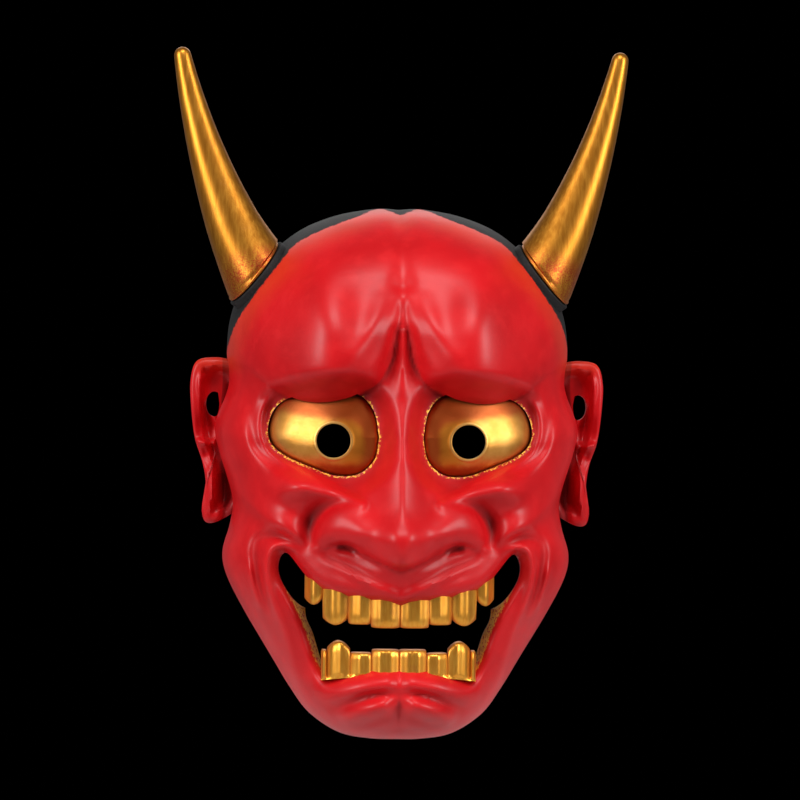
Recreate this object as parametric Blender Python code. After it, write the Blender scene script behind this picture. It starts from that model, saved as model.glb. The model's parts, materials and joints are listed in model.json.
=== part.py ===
"""A horned hannya noh mask: one cast shell, push-in horns, eye plates, tooth bars and felt pads.

The face looks along -Y and its rim lies in the plane y = 0. The origin is in that plane, midway
between the two strap holes. Run with: blender --background --python part.py
"""

import math

import bmesh
import bpy
import numpy as np
from mathutils import Matrix, Vector

MM = 0.001  # every length below is in millimetres; a mesh is made in metres

# The shell. Its outlines and strokes are laid out for LAYOUT and stretch with the face.
FACE_WIDTH = 136.4
FACE_HEIGHT = 208.2
FACE_DEPTH = 70.0
LAYOUT = (136.4, 70.0, 208.2)
MIDDLE_Z = -20.0
RIM_BAND = 2.0
RELIEF_FADE = 0.45  # the carving grows from nothing at the rim to full at this share of the depth
WALL = 4.0
CLEARANCE = 0.3
THROUGH = 30.0
SHELL_GRID = (38, 52)
HOLLOW_GRID = (24, 34)

# The horns. Angles are in degrees; a lean is measured from upright, in the frontal plane.
HORN_LENGTH = 93.0
HORN_BASE = 27.0
HORN_TIP = 6.6
HORN_LEAN = (27.0, 11.0)
HORN_FORWARD = 27.0
HORN_AROUND = 38.2
HORN_LIP = 1.0
HORN_WAIST = 1.2
HORN_SIDES = 20
HORN_RINGS = 14
SEAT_LEAN = 52.0
SEAT_TILT = 10.0
SEAT_RAISE = -1.0
SEAT_BORDER = 1.0
SEAT_DEPTH = 16.0
TENON = 10.0
TENON_LENGTH = 14.0
SOCKET_WALL = 3.0
SOCKET_FLOOR = 3.0

# The eye plates, the tooth bars, the ears and the pads.
EYE_PLATE = 2.4
EYE_FLANGE = 3.0
EYE_BULGE = 6.0
EYE_ROUND = 12.0
EYE_CENTRE = (29.0, -12.0)
EYE_RECESS = 7.0
EYELID = 2.2
EYE_GAP = 4 * CLEARANCE
PUPIL = 13.0
PUPIL_AT = (25.8, -13.4)
TOOTH_BAR = 6.0
TEETH_FORWARD = 76.0
TEETH_ARCH = 12.0
TEETH_HALF = 36.0
TOOTH_PITCH = 8.0
TOOTH_RELIEF = 1.2
TOOTH_GAP = 0.4
EAR_BACK = 3.0
EAR_FRONT = 12.0
EAR_HOLLOW = 4.0
EAR_AT = (69.0, -10.0)
MOUTH_Z = -84.0
STRAP_HOLE = (4.6, 8.4)
STRAP_HOLE_AT = (72.7, 0.0)
PAD = 6.0
PAD_GAP = 1.1
FOREHEAD_PAD_AT = (0.0, 51.0)
CHEEK_PAD_AT = (49.5, -39.0)

SCALE = (FACE_WIDTH / LAYOUT[0], FACE_DEPTH / LAYOUT[1], FACE_HEIGHT / LAYOUT[2])

# Outlines of the layout, as (x, z) on the side where x is positive.
RIM = [(0, 78), (13, 77.4), (25, 75), (37, 70.2), (47, 63), (56, 53.5), (63, 43), (66.3, 33),
       (67.3, 21), (66.6, 0), (65.2, -22), (64.6, -40), (65.6, -48), (68.2, -58), (66.6, -67),
       (60, -80), (50, -96.5), (41, -111), (33.5, -120.5), (22, -127.8), (10, -130), (0, -130.2)]
BROW = [(-0.5, 84), (0.4, 62), (2.2, 44), (2.7, 35), (3.8, 25), (5.9, 16.5), (9.8, 8.9), (17.2, 3.4),
        (25.8, 1), (33, 0.4), (40, 1.4), (46.5, 4.4), (53, 9.5), (60, 13.8), (68, 16), (80, 18)]
EYE = [(8.2, -12), (10.5, -20.5), (17, -26), (26, -27), (35, -24), (44, -20), (49.5, -14.5),
       (50.5, -7), (46.5, 1), (38, 4), (28, 4), (17, 3.5), (10.5, -3)]
MOUTH = [(0, -76.2), (6.2, -74.7), (19.6, -72), (30.3, -68.2), (37.1, -61.5), (42.4, -55.8),
         (46.6, -60), (45.6, -71), (41.4, -79), (38.1, -86), (36.2, -94), (35.2, -101),
         (29, -108), (19.7, -104), (6.6, -100.2), (0, -99.8)]
EAR = [(58, 17), (65, 17.7), (72, 18.5), (79, 17), (81.4, 10), (81.2, 0), (79.6, -13), (76, -23),
       (73.8, -32), (74.9, -40), (73, -46), (68, -45), (60, -38), (56, -20), (56, 0)]
UPPER_TEETH = [(0, -84), (12, -83.6), (24, -82.2), (29, -83), (33, -78.5), (36, -74)]
LOWER_TEETH = [(0, -92), (10, -92.4), (20, -94.6), (26, -90.5), (30, -90), (33, -88), (36, -84)]
FOREHEAD_PAD = [(0, 62), (18, 60), (27, 54), (27, 46), (16, 42), (0, 41)]
CHEEK_PAD = [(48, -28), (54, -32), (56, -42), (52, -50), (45, -50), (43, -40), (44, -31)]

# How boxy the shell's section is, by the angle in radians from straight up: 2 is round.
SQUARENESS = [(-0.8, 2.6), (0, 2.6), (0.8, 2.5), (1.6, 2.7), (2.4, 3.3), (3.1416, 4.4), (4, 3.3)]


def eased(t):
    """0 below 0, 1 above 1, and a smooth step between."""
    t = np.clip(t, 0, 1)
    return t * t * (3 - 2 * t)


def flowing(points, steps=8):
    """Points along a smooth curve through the given ones, every column carried along."""
    points = np.asarray(points, float)
    slope = np.gradient(points, axis=0)
    t = np.linspace(0, 1, steps, endpoint=False)[:, None]
    pieces = []
    for a, b, into, out in zip(points[:-1], points[1:], slope[:-1], slope[1:]):
        bend = a * (1 + 2 * t) * (1 - t) ** 2 + b * t * t * (3 - 2 * t)
        pieces.append(bend + into * t * (1 - t) ** 2 - out * t * t * (1 - t))
    return np.vstack(pieces + [points[-1:]])


def nearest(line, x, z):
    """Distance from each place to a line, positive on its left, and the other columns there."""
    best = np.full(x.shape, 1e9)
    side = np.ones(x.shape)
    carried = np.zeros(x.shape + (line.shape[1] - 2,))
    for a, b in zip(line[:-1], line[1:]):
        run, rise = b[:2] - a[:2]
        t = np.clip(((x - a[0]) * run + (z - a[1]) * rise) / (run * run + rise * rise), 0, 1)
        off_x, off_z = x - a[0] - t * run, z - a[1] - t * rise
        away = np.hypot(off_x, off_z)
        closer = away < best
        best = np.where(closer, away, best)
        side = np.where(closer, np.where(run * off_z >= rise * off_x, 1, -1), side)
        carried = np.where(closer[..., None], a[2:] + t[..., None] * (b[2:] - a[2:]), carried)
    return best * side, carried


def depth_inside(outline, x, z):
    """Distance to a closed outline, positive inside it."""
    line = flowing(list(outline) + [outline[0]], 6)
    away, _ = nearest(line, x, z)
    within = np.zeros(x.shape, bool)
    for (x0, z0), (x1, z1) in zip(line[:-1], line[1:]):
        if z0 != z1:
            within ^= ((z0 > z) != (z1 > z)) & (x < (x1 - x0) * (z - z0) / (z1 - z0) + x0)
    return np.where(within, np.abs(away), -np.abs(away))


def both_halves(half):
    """A closed outline from its half with x from 0, out and back to 0."""
    return list(half) + [(-x, z) for x, z in reversed(half[1:-1])]


def mound(x, z, at, reach, lift, power=2.0):
    """A soft rise, or a hollow where lift is negative."""
    away = np.hypot((x - at[0]) / reach[0], (z - at[1]) / reach[1])
    return lift * np.exp(-away ** power)


def stroke(x, z, points, taper=0.25):
    """A ridge, or a groove where its height is negative. Points are (x, z, half width, height)."""
    line = flowing(points, 6)
    share = np.linspace(0, 1, len(line))
    fade = eased(share / taper) * eased((1 - share) / taper) if taper else 1
    line[:, 3] *= fade
    away, carried = nearest(line, x, z)
    return carried[..., 1] * np.exp(-(away / carried[..., 0]) ** 2)


def broad_relief(x, z):
    """The large masses, which the hollow inside follows too."""
    rise = mound(x, z, (0, 48), (52, 26), 7)
    rise += stroke(x, z, [(0, 6, 9, 2), (0, -14, 10, 8), (0, -38, 13, 16), (0, -50, 14, 18),
                          (0, -60, 12, 12)], 0.15)
    rise += mound(x, z, (41, -33), (15, 11), 5)
    rise += mound(x, z, (0, -68), (36, 14), 9)
    rise += mound(x, z, (0, -114), (30, 13), 12, 2.4)
    rise += mound(x, z, (50, -66), (12, 22), 3) - mound(x, z, (33, -42), (8, 8), 2.5)
    return rise - EYE_RECESS * eased((depth_inside(EYE, x, z) + 9) / 9)


def fine_relief(x, z):
    """The carved lines and folds on the outside only."""
    rise = stroke(x, z, [(0, 40, 1.6, 1), (0, 28, 1.8, 4), (0, 14, 3, 4), (0, 0, 3, 1)], 0.2)
    rise += stroke(x, z, [(0, -26, 8, 3), (0, -44, 10, 6), (0, -54, 9, 5)], 0.2)
    rise += mound(x, z, (23, -47), (9, 9), 9, 2.6)
    rise += stroke(x, z, [(23, -35, 3, -1), (31, -38, 3, -2), (34, -46, 3, -3), (31, -54, 3, -2)])
    rise += stroke(x, z, [(52, -20, 4, 2), (38, -27, 3.4, 4), (26, -32, 3, 4), (14, -37, 3, 2)])
    rise += stroke(x, z, [(34, -50, 4, 3), (46, -52, 4, 5), (55, -62, 4, 5), (52, -80, 4, 4),
                          (43, -100, 4, 3)])
    rise += stroke(x, z, [(60, -48, 3, 1), (63.5, -60, 3, 2.5), (59, -76, 3, 2), (51, -92, 3, 1)])
    rise += stroke(x, z, [(0, -73, 4, 4), (16, -70, 4, 3), (30, -64, 4, 2)], 0)
    rise += stroke(x, z, [(0, -105, 5, 4), (20, -108, 4, 3), (33, -105, 4, 2)], 0)
    return rise + stroke(x, z, [(0, -108, 2, -2), (0, -115, 2, -2), (0, -121, 2, -1)], 0.3)


def brow_relief(x, z):
    """The two heavy brows, which end in an edge over the eyes."""
    over, _ = nearest(flowing(BROW, 6), x, z)
    lift = (3 + 7 * np.exp(-((x - 29) / 19) ** 2)) * eased((76 - x) / 22)
    edge = np.sqrt(1 - (1 - np.clip(over / 8, 0, 1)) ** 2)
    fading = eased((z - 26) / 20)
    edge += (eased(over / 20) - edge) * fading
    body = mound(x, z, (30, 23), (14, 15), 4.5) + mound(x, z, (18.7, 40), (6.5, 11), -2.5)
    return (lift * edge + body * eased(over / 6)) * (over > 0) * eased((84 - z) / 52)


def reach_of(outline, centre):
    """The distance from the centre to a closed outline, as a function of direction."""
    line = flowing(list(outline) + [outline[0]], 12)[:-1] - np.asarray(centre)
    angle = np.arctan2(line[:, 0], line[:, 1])
    order = np.argsort(angle)
    around, out = angle[order], np.hypot(line[order, 0], line[order, 1])
    return lambda turn: np.interp(turn, around, out, period=2 * math.pi)


RIM_REACH = reach_of(both_halves(RIM), (0, MIDDLE_Z))


def squareness(turn):
    """How boxy the section is in each direction: rounder at the crown, boxy at the chin."""
    curve = flowing(SQUARENESS)
    return np.interp(np.abs(turn), curve[:, 0], curve[:, 1])


def relief_at(x, z, parts):
    """The sum of the named reliefs at places of the layout, the same on both sides."""
    softened = np.sqrt(x * x + 0.35)
    return sum(part(softened, z) for part in parts)


OUTSIDE = (broad_relief, fine_relief, brow_relief)
UNDER_BROW = (broad_relief, fine_relief)
INSIDE = (broad_relief,)


def forward_at(x, z, parts=OUTSIDE, inset=0.0):
    """How far forward of the rim plane a surface of the face is, at real places x, z."""
    x, z = x / SCALE[0], z / SCALE[2]
    turn = np.arctan2(x, z - MIDDLE_Z)
    power = squareness(turn)
    out = np.hypot(x, z - MIDDLE_Z) / (RIM_REACH(turn) - inset)
    up = np.maximum(1 - np.minimum(out, 1) ** power, 0) ** (1 / power)
    relief = relief_at(x, z, parts) * eased(up / RELIEF_FADE)
    return ((LAYOUT[1] - RIM_BAND) * up + RIM_BAND + relief) * SCALE[1] - inset


def rounded_square(u, v):
    """Moves the corners of a square grid to a round one: its radius, to 1, and direction."""
    across, upward = u * np.sqrt(1 - v * v / 2), v * np.sqrt(1 - u * u / 2)
    return np.hypot(across, upward), np.arctan2(across, upward)


def new_object(name, bm):
    """A scene object from a bmesh in millimetres, with its faces pointing out."""
    bmesh.ops.recalc_face_normals(bm, faces=bm.faces)
    if bm.calc_volume(signed=True) < 0:
        bmesh.ops.reverse_faces(bm, faces=bm.faces)
    bmesh.ops.scale(bm, vec=Vector((MM, MM, MM)), verts=bm.verts)
    mesh = bpy.data.meshes.new(name)
    bm.to_mesh(mesh)
    bm.free()
    obj = bpy.data.objects.new(name, mesh)
    bpy.context.scene.collection.objects.link(obj)
    return obj


def clay(name, across, upward, place):
    """A closed block, a grid extruded once. place(u, v, front) gives its corners' x, y and z."""
    bm = bmesh.new()
    bmesh.ops.create_grid(bm, x_segments=across, y_segments=upward, size=1)
    made = bmesh.ops.extrude_face_region(bm, geom=bm.faces[:], use_keep_orig=True)["geom"]
    for item in made:
        if isinstance(item, bmesh.types.BMVert):
            item.co.z = 1
    corners = np.array([vert.co for vert in bm.verts])
    x, forward, z = place(corners[:, 0], corners[:, 1], corners[:, 2] > 0.5)
    for vert, co in zip(bm.verts, np.column_stack([x, -forward, z])):
        vert.co = co
    return new_object(name, bm)


def dome(name, across, upward, parts, inset, back):
    """The face as a solid, inset from the outside of the shell and reaching back to a plane."""

    def place(u, v, front):
        radius, turn = rounded_square(u, v)
        power = squareness(turn)
        swing = math.pi / 2 * np.minimum(0.75 * radius + 0.25 * radius ** 3, 1)
        low, high = np.sin(swing), np.maximum(np.cos(swing), 0)
        size = (low ** power + high ** power) ** (-1 / power)
        out = np.where(front, low * size, radius)
        up = high * size
        reach = RIM_REACH(turn) * out
        x, z = reach * np.sin(turn), MIDDLE_Z + reach * np.cos(turn)
        shrink = inset * out
        relief = relief_at(x, z, parts) * eased(up / RELIEF_FADE)
        forward = ((LAYOUT[1] - RIM_BAND) * up + RIM_BAND + relief) * SCALE[1] - inset * up
        x = x * SCALE[0] - shrink * np.sin(turn)
        z = z * SCALE[2] - shrink * np.cos(turn)
        return x, np.where(front, forward, back), z

    return clay(name, across, upward, place)


def plate(name, outline, centre, front, back, segments=12, grow=0.0):
    """A plate with a star-shaped outline; front and back give how far forward its faces are."""
    reach = reach_of(outline, centre)

    def place(u, v, is_front):
        radius, turn = rounded_square(u, v)
        out = radius * reach(turn) + grow * radius ** 4
        x, z = centre[0] + out * np.sin(turn), centre[1] + out * np.cos(turn)
        inner = radius * reach(turn)
        at_x, at_z = centre[0] + inner * np.sin(turn), centre[1] + inner * np.cos(turn)
        return x, np.where(is_front, front(at_x, at_z), back(at_x, at_z)), z

    return clay(name, segments, segments, place)


def stretched(points, side=1):
    """An outline of the layout at the face's real size. side is 1 for the right and -1 for the left."""
    return [(side * x * SCALE[0], z * SCALE[2]) for x, z in points]


def combine(target, other, operation):
    """Cuts the other object from the target or joins it on, and hides the other."""
    modifier = target.modifiers.new(other.name, "BOOLEAN")
    modifier.object = other
    modifier.operation = operation
    modifier.solver = "MANIFOLD" if target.name == "mask_shell" else "EXACT"
    other.hide_render = True
    other.display_type = "WIRE"


def finish(obj, name, color, roughness, metallic=0.0):
    """Gives an object its own Principled material."""
    material = bpy.data.materials.new(name)
    material.use_nodes = True
    shader = material.node_tree.nodes["Principled BSDF"]
    shader.inputs["Base Color"].default_value = (*color, 1)
    shader.inputs["Roughness"].default_value = roughness
    shader.inputs["Metallic"].default_value = metallic
    obj.data.materials.append(material)


def smooth(obj):
    """Shades a round piece smooth."""
    for polygon in obj.data.polygons:
        polygon.use_smooth = True


def box(name, size, centre, turn=None):
    """A block of the given size, turned about its centre."""
    bm = bmesh.new()
    bmesh.ops.create_cube(bm, size=1)
    bmesh.ops.scale(bm, vec=Vector(size), verts=bm.verts)
    if turn:
        bmesh.ops.rotate(bm, matrix=turn, verts=bm.verts)
    bmesh.ops.translate(bm, vec=Vector(centre), verts=bm.verts)
    return new_object(name, bm)


def drum(name, diameter, low, high, frame, segments=32):
    """A cylinder along the frame's Z, from low to high."""
    bm = bmesh.new()
    bmesh.ops.create_cone(bm, cap_ends=True, segments=segments, radius1=diameter / 2,
                          radius2=diameter / 2, depth=high - low)
    bmesh.ops.translate(bm, vec=(0, 0, (low + high) / 2), verts=bm.verts)
    bmesh.ops.transform(bm, matrix=frame, verts=bm.verts)
    return new_object(name, bm)


def seat_frame(side):
    """The horn seat: its origin on the seat, +Z out of it, +X in the frontal plane."""
    around = math.radians(HORN_AROUND)
    reach = float(RIM_REACH(around)) + SEAT_RAISE
    place = Vector((side * reach * math.sin(around) * SCALE[0], -HORN_FORWARD,
                    (MIDDLE_Z + reach * math.cos(around)) * SCALE[2]))
    lean, tilt = math.radians(SEAT_LEAN), math.radians(SEAT_TILT)
    out = Vector((side * math.sin(lean) * math.cos(tilt), -math.sin(tilt),
                  math.cos(lean) * math.cos(tilt)))
    across = Vector((side * math.cos(lean), 0, -math.sin(lean)))
    upward = out.cross(across)
    turn = Matrix((across, upward, out)).transposed()
    return Matrix.Translation(place) @ turn.to_4x4()


def horn_stations(side):
    """Frames and radii along the horn, from its seat to its rounded tip."""
    seat = seat_frame(side)
    place = seat.to_translation()
    normal = seat.to_3x3() @ Vector((0, 0, 1))
    frames = []
    step = (HORN_LENGTH - HORN_TIP / 2) / HORN_RINGS
    for i in range(HORN_RINGS + 1):
        share = i / HORN_RINGS
        lean = math.radians(HORN_LEAN[0] + (HORN_LEAN[1] - HORN_LEAN[0]) * share)
        along = Vector((side * math.sin(lean), 0, math.cos(lean)))
        facing = normal.lerp(along, min(1, share * 4)).normalized()
        spread = HORN_BASE + (HORN_TIP - HORN_BASE) * share - HORN_WAIST * math.sin(math.pi * share)
        frames.append((place.copy(), facing, along, spread / 2))
        place = place + along * step
    for angle in (30, 60, 80):
        swing = math.radians(angle)
        ahead = along * (HORN_TIP / 2 * math.sin(swing) - step)
        frames.append((place + ahead, facing, along, HORN_TIP / 2 * math.cos(swing)))
    return frames


def horn(side, name):
    """A curved horn with its lip and tenon, its origin on its seat and +Z along its socket."""
    seat = seat_frame(side)
    bm = bmesh.new()
    bmesh.ops.create_circle(bm, cap_ends=False, segments=HORN_SIDES, radius=1)
    ring, frame = bm.edges[:], Matrix.Identity(4)
    first = True
    for place, facing, along, radius in horn_stations(side):
        turn = facing.to_track_quat("Z", "Y").to_matrix().to_4x4()
        slant = 1 / max(facing.dot(along), 0.5)
        size = Matrix.Diagonal((radius * slant, radius * slant, 1, 1))
        target = Matrix.Translation(place + facing * (CLEARANCE if first else 0)) @ turn @ size
        if not first:
            ring = [item for item in bmesh.ops.extrude_edge_only(bm, edges=ring)["geom"]
                    if isinstance(item, bmesh.types.BMEdge)]
        verts = list({vert for edge in ring for vert in edge.verts})
        bmesh.ops.transform(bm, matrix=target @ frame.inverted(), verts=verts)
        frame, first = target, False
    bmesh.ops.holes_fill(bm, edges=bm.edges[:], sides=0)
    body = new_object(name, bm)
    smooth(body)
    lip = drum(name + "_lip", HORN_BASE + 2 * HORN_LIP, CLEARANCE, CLEARANCE + HORN_LIP, seat)
    tenon_height = TENON_LENGTH + HORN_LIP / 2
    tenon = box(name + "_tenon", (TENON, TENON, tenon_height),
                seat @ Vector((0, 0, CLEARANCE - TENON_LENGTH + tenon_height / 2)), seat.to_3x3())
    combine(body, lip, "UNION")
    combine(body, tenon, "UNION")
    finish(body, name + "_gold", (0.72, 0.42, 0.07), 0.34, 0.9)
    return body


def add_horn_seat(shell, side, label):
    """A round boss on the crown, under the horn's lip."""
    seat = seat_frame(side)
    width = HORN_BASE + 2 * (HORN_LIP + SEAT_BORDER)
    combine(shell, drum("horn_boss_" + label, width, -SEAT_DEPTH, 0, seat), "UNION")


def add_horn_socket(shell, side, label):
    """A square socket for the tenon, with a wall round it inside the hollow and a closed floor."""
    seat = seat_frame(side)
    turn = seat.to_3x3()
    outer = TENON + 2 * (CLEARANCE + SOCKET_WALL)
    deep = TENON_LENGTH + SOCKET_FLOOR
    combine(shell, box("socket_block_" + label, (outer, outer, deep - 1),
                       seat @ Vector((0, 0, -(deep + 1) / 2)), turn), "UNION")
    hole = TENON + 2 * CLEARANCE
    tall = TENON_LENGTH + THROUGH
    combine(shell, box("socket_hole_" + label, (hole, hole, tall),
                       seat @ Vector((0, 0, tall / 2 - TENON_LENGTH)), turn), "DIFFERENCE")


def eye_centre(side):
    """The place in an eye's outline that its plate is laid out from."""
    return side * EYE_CENTRE[0] * SCALE[0], EYE_CENTRE[1] * SCALE[2]


def eye_surface(x, z, side):
    """The front of an eye plate: behind the lids, bulging between them, level in its flange."""
    outline, centre = stretched(EYE, side), eye_centre(side)
    away, turn = np.hypot(x - centre[0], z - centre[1]), np.arctan2(x - centre[0], z - centre[1])
    within = np.minimum(1, reach_of(outline, centre)(turn) / np.maximum(away, CLEARANCE))
    x, z = centre[0] + (x - centre[0]) * within, centre[1] + (z - centre[1]) * within
    edge = np.clip((depth_inside(outline, x, z) - 1) / EYE_ROUND, 0, 1)
    bulge = EYE_BULGE * np.sqrt(1 - (1 - edge) ** 2)
    return forward_at(x, z, UNDER_BROW) - EYELID - CLEARANCE + bulge


def eye(side, name):
    """A domed plate with a flange behind the lids and a round hole to see through."""
    centre = eye_centre(side)
    flange = grown(stretched(EYE, side), centre, EYE_FLANGE)
    body = plate(name, flange, centre, lambda x, z: eye_surface(x, z, side),
                 lambda x, z: eye_surface(x, z, side) - EYE_PLATE)
    smooth(body)
    at = (side * PUPIL_AT[0] * SCALE[0], -FACE_DEPTH, PUPIL_AT[1] * SCALE[2])
    facing = Matrix.Translation(at) @ Matrix.Rotation(math.pi / 2, 4, "X")
    combine(body, drum(name + "_pupil", PUPIL, -2 * THROUGH, THROUGH, facing, 24), "DIFFERENCE")
    finish(body, name + "_gold", (0.85, 0.58, 0.14), 0.3, 0.8)
    return body


def grown(outline, centre, by):
    """An outline moved out from its centre by a distance."""
    moved = []
    for x, z in outline:
        away = math.hypot(x - centre[0], z - centre[1])
        moved.append((centre[0] + (x - centre[0]) * (1 + by / away),
                      centre[1] + (z - centre[1]) * (1 + by / away)))
    return moved


def add_eye_opening(shell, side, label):
    """The opening between the lids, and the seat behind them that takes the plate's flange."""
    centre = eye_centre(side)
    outline = stretched(EYE, side)
    flange = grown(outline, centre, EYE_FLANGE)
    opening = plate("eye_opening_" + label, outline, centre,
                    lambda x, z: x * 0 + FACE_DEPTH + THROUGH, lambda x, z: x * 0)
    seat = plate("eye_seat_" + label, flange, centre,
                 lambda x, z: eye_surface(x, z, side) + EYE_GAP,
                 lambda x, z: eye_surface(x, z, side) - EYE_PLATE - THROUGH / 2, grow=CLEARANCE)
    combine(shell, opening, "DIFFERENCE")
    combine(shell, seat, "DIFFERENCE")


def tooth_front(x):
    """How far forward the tooth bars reach across the mouth: an arch in plan."""
    return (TEETH_FORWARD - TEETH_ARCH * (x / SCALE[0] / TEETH_HALF) ** 2) * SCALE[1]


def tooth_bar(name, edge, root, grow=0.0):
    """An arched bar between its biting edge and its root line, with a bulge for each tooth."""
    line = flowing(edge, 6)

    def place(u, v, front):
        x = u * (TEETH_HALF * SCALE[0] + grow)
        biting = np.interp(np.abs(x) / SCALE[0], line[:, 0], line[:, 1]) * SCALE[2]
        rooted = root(np.abs(x) / SCALE[0]) * SCALE[2]
        up = np.sign(root(0.0) - edge[0][1])
        share = (v + 1) / 2
        z = (biting - up * grow) * (1 - share) + (rooted + up * grow) * share
        swell = np.abs(np.sin(math.pi * x / SCALE[0] / TOOTH_PITCH)) ** 0.7
        forward = tooth_front(x) + TOOTH_RELIEF * (swell - 0.6)
        return x, np.where(front, forward + grow, tooth_front(x) - TOOTH_BAR - grow), z

    return clay(name, 36, 4, place)


def upper_root(x):
    """The hidden top of the upper bar, behind the lip."""
    return -72.5 + 10 * (x / TEETH_HALF) ** 2


def lower_root(x):
    """The hidden foot of the lower bar."""
    return -103.5 + 0 * x


def felt_pad(name, outline, centre):
    """A pad that lies on the hollow of the shell."""
    body = plate(name, outline, centre,
                 lambda x, z: forward_at(x, z, INSIDE, WALL) - PAD_GAP,
                 lambda x, z: forward_at(x, z, INSIDE, WALL) - PAD_GAP - PAD, segments=8)
    smooth(body)
    finish(body, name + "_felt", (0.05, 0.05, 0.05), 0.95)
    return body


def ear_front(x, z, side):
    """The front of an ear: a raised edge round a hollow."""
    border = depth_inside(stretched(EAR), side * x, z)
    return (EAR_FRONT - EAR_HOLLOW * eased((border - 3) / 4)) * SCALE[1]


def add_ear(shell, side, label):
    """An ear that stands out from the side of the shell."""
    centre = (side * EAR_AT[0] * SCALE[0], EAR_AT[1] * SCALE[2])
    ear = plate("ear_" + label, stretched(EAR, side), centre,
                lambda x, z: ear_front(x, z, side), lambda x, z: x * 0 + EAR_BACK, 10)
    combine(shell, ear, "UNION")


def add_strap_hole(shell, side, label):
    """The hole for a strap, from front to back through an ear."""
    at = (side * STRAP_HOLE_AT[0] * SCALE[0], -FACE_DEPTH / 2, STRAP_HOLE_AT[1] * SCALE[2])
    hole = box("strap_hole_" + label, (STRAP_HOLE[0], FACE_DEPTH + THROUGH, STRAP_HOLE[1]), at)
    combine(shell, hole, "DIFFERENCE")


def add_mouth(shell):
    """The mouth opening, and the seats behind the lips that take the tooth bars."""
    outline = both_halves(stretched(MOUTH))
    centre = (0, MOUTH_Z * SCALE[2])
    combine(shell, plate("mouth_opening", outline, centre,
                         lambda x, z: x * 0 + FACE_DEPTH + THROUGH, lambda x, z: x * 0, 16),
            "DIFFERENCE")
    for name, edge, root in (("upper", UPPER_TEETH, upper_root), ("lower", LOWER_TEETH, lower_root)):
        combine(shell, tooth_bar(name + "_seat", edge, root, TOOTH_GAP), "DIFFERENCE")


def build():
    """The whole mask under one empty, with every horn at its seat."""
    for old in list(bpy.data.objects):
        bpy.data.objects.remove(old)
    frame = bpy.data.objects.new("mask_frame", None)
    bpy.context.scene.collection.objects.link(frame)
    shell = dome("mask_shell", *SHELL_GRID, OUTSIDE, 0.0, 0.0)
    smooth(shell)
    sides = (("left", -1), ("right", 1))
    for label, side in sides:
        add_ear(shell, side, label)
        add_horn_seat(shell, side, label)
    combine(shell, dome("head_hollow", *HOLLOW_GRID, INSIDE, WALL, -RIM_BAND), "DIFFERENCE")
    for label, side in sides:
        add_horn_socket(shell, side, label)
        add_eye_opening(shell, side, label)
        add_strap_hole(shell, side, label)
    add_mouth(shell)
    finish(shell, "mask_red_paint", (0.55, 0.01, 0.015), 0.38)
    nodes = [shell]
    for label, side in sides:
        nodes.append(eye(side, "eye_" + label))
    bars = (("upper_teeth", UPPER_TEETH, upper_root), ("lower_teeth", LOWER_TEETH, lower_root))
    for name, edge, root in bars:
        bar = tooth_bar(name, edge, root)
        finish(bar, name + "_gold", (0.75, 0.42, 0.06), 0.32, 0.85)
        nodes.append(bar)
    nodes.append(felt_pad("forehead_pad", both_halves(stretched(FOREHEAD_PAD)),
                          stretched([FOREHEAD_PAD_AT])[0]))
    for label, side in sides:
        nodes.append(felt_pad("cheek_pad_" + label, stretched(CHEEK_PAD, side),
                              stretched([CHEEK_PAD_AT], side)[0]))
    for node in nodes:
        node.parent = frame
    for label, side in sides:
        body = horn(side, "horn_" + label)
        seat = seat_frame(side)
        seat.translation *= MM
        body.data.transform(seat.inverted())
        body.matrix_world = seat
        for modifier in body.modifiers:
            modifier.object.parent = frame
        body.parent = frame


if __name__ == "__main__":
    build()
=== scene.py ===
"""A horned hannya noh mask, finished: the carved red shell, gold horns, eyes, teeth and felt pads.

Lengths are in millimetres until a mesh is made. The face looks along -Y; x and z are measured
from the frame's origin, and "forward" is the distance in front of the rim plane, along -Y.
"""
import json
import math

import bmesh
import bpy
import numpy as np
from mathutils import Matrix, Vector


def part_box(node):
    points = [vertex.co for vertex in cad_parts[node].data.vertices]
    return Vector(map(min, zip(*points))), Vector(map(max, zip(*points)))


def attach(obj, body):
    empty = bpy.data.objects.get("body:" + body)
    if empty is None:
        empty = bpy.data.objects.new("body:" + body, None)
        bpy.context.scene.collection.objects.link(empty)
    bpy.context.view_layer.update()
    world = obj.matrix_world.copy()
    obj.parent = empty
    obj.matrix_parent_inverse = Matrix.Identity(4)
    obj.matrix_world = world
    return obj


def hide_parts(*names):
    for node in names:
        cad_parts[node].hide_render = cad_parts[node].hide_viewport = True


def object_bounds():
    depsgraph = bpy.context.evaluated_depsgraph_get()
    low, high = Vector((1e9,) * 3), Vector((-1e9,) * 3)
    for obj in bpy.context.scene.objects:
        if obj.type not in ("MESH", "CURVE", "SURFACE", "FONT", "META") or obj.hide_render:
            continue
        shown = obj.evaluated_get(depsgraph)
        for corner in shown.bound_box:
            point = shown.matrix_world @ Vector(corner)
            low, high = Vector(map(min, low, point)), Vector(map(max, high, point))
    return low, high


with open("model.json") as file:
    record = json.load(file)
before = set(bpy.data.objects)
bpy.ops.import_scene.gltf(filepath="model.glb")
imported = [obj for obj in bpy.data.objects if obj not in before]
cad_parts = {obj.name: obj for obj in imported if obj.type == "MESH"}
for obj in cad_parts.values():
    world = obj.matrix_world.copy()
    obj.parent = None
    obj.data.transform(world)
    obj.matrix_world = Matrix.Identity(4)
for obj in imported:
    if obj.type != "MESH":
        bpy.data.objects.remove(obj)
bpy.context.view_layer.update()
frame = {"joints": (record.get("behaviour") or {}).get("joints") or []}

MM = 0.001
SHELL_LOW, SHELL_HIGH = [np.array(corner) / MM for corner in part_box("mask_shell")]

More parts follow.
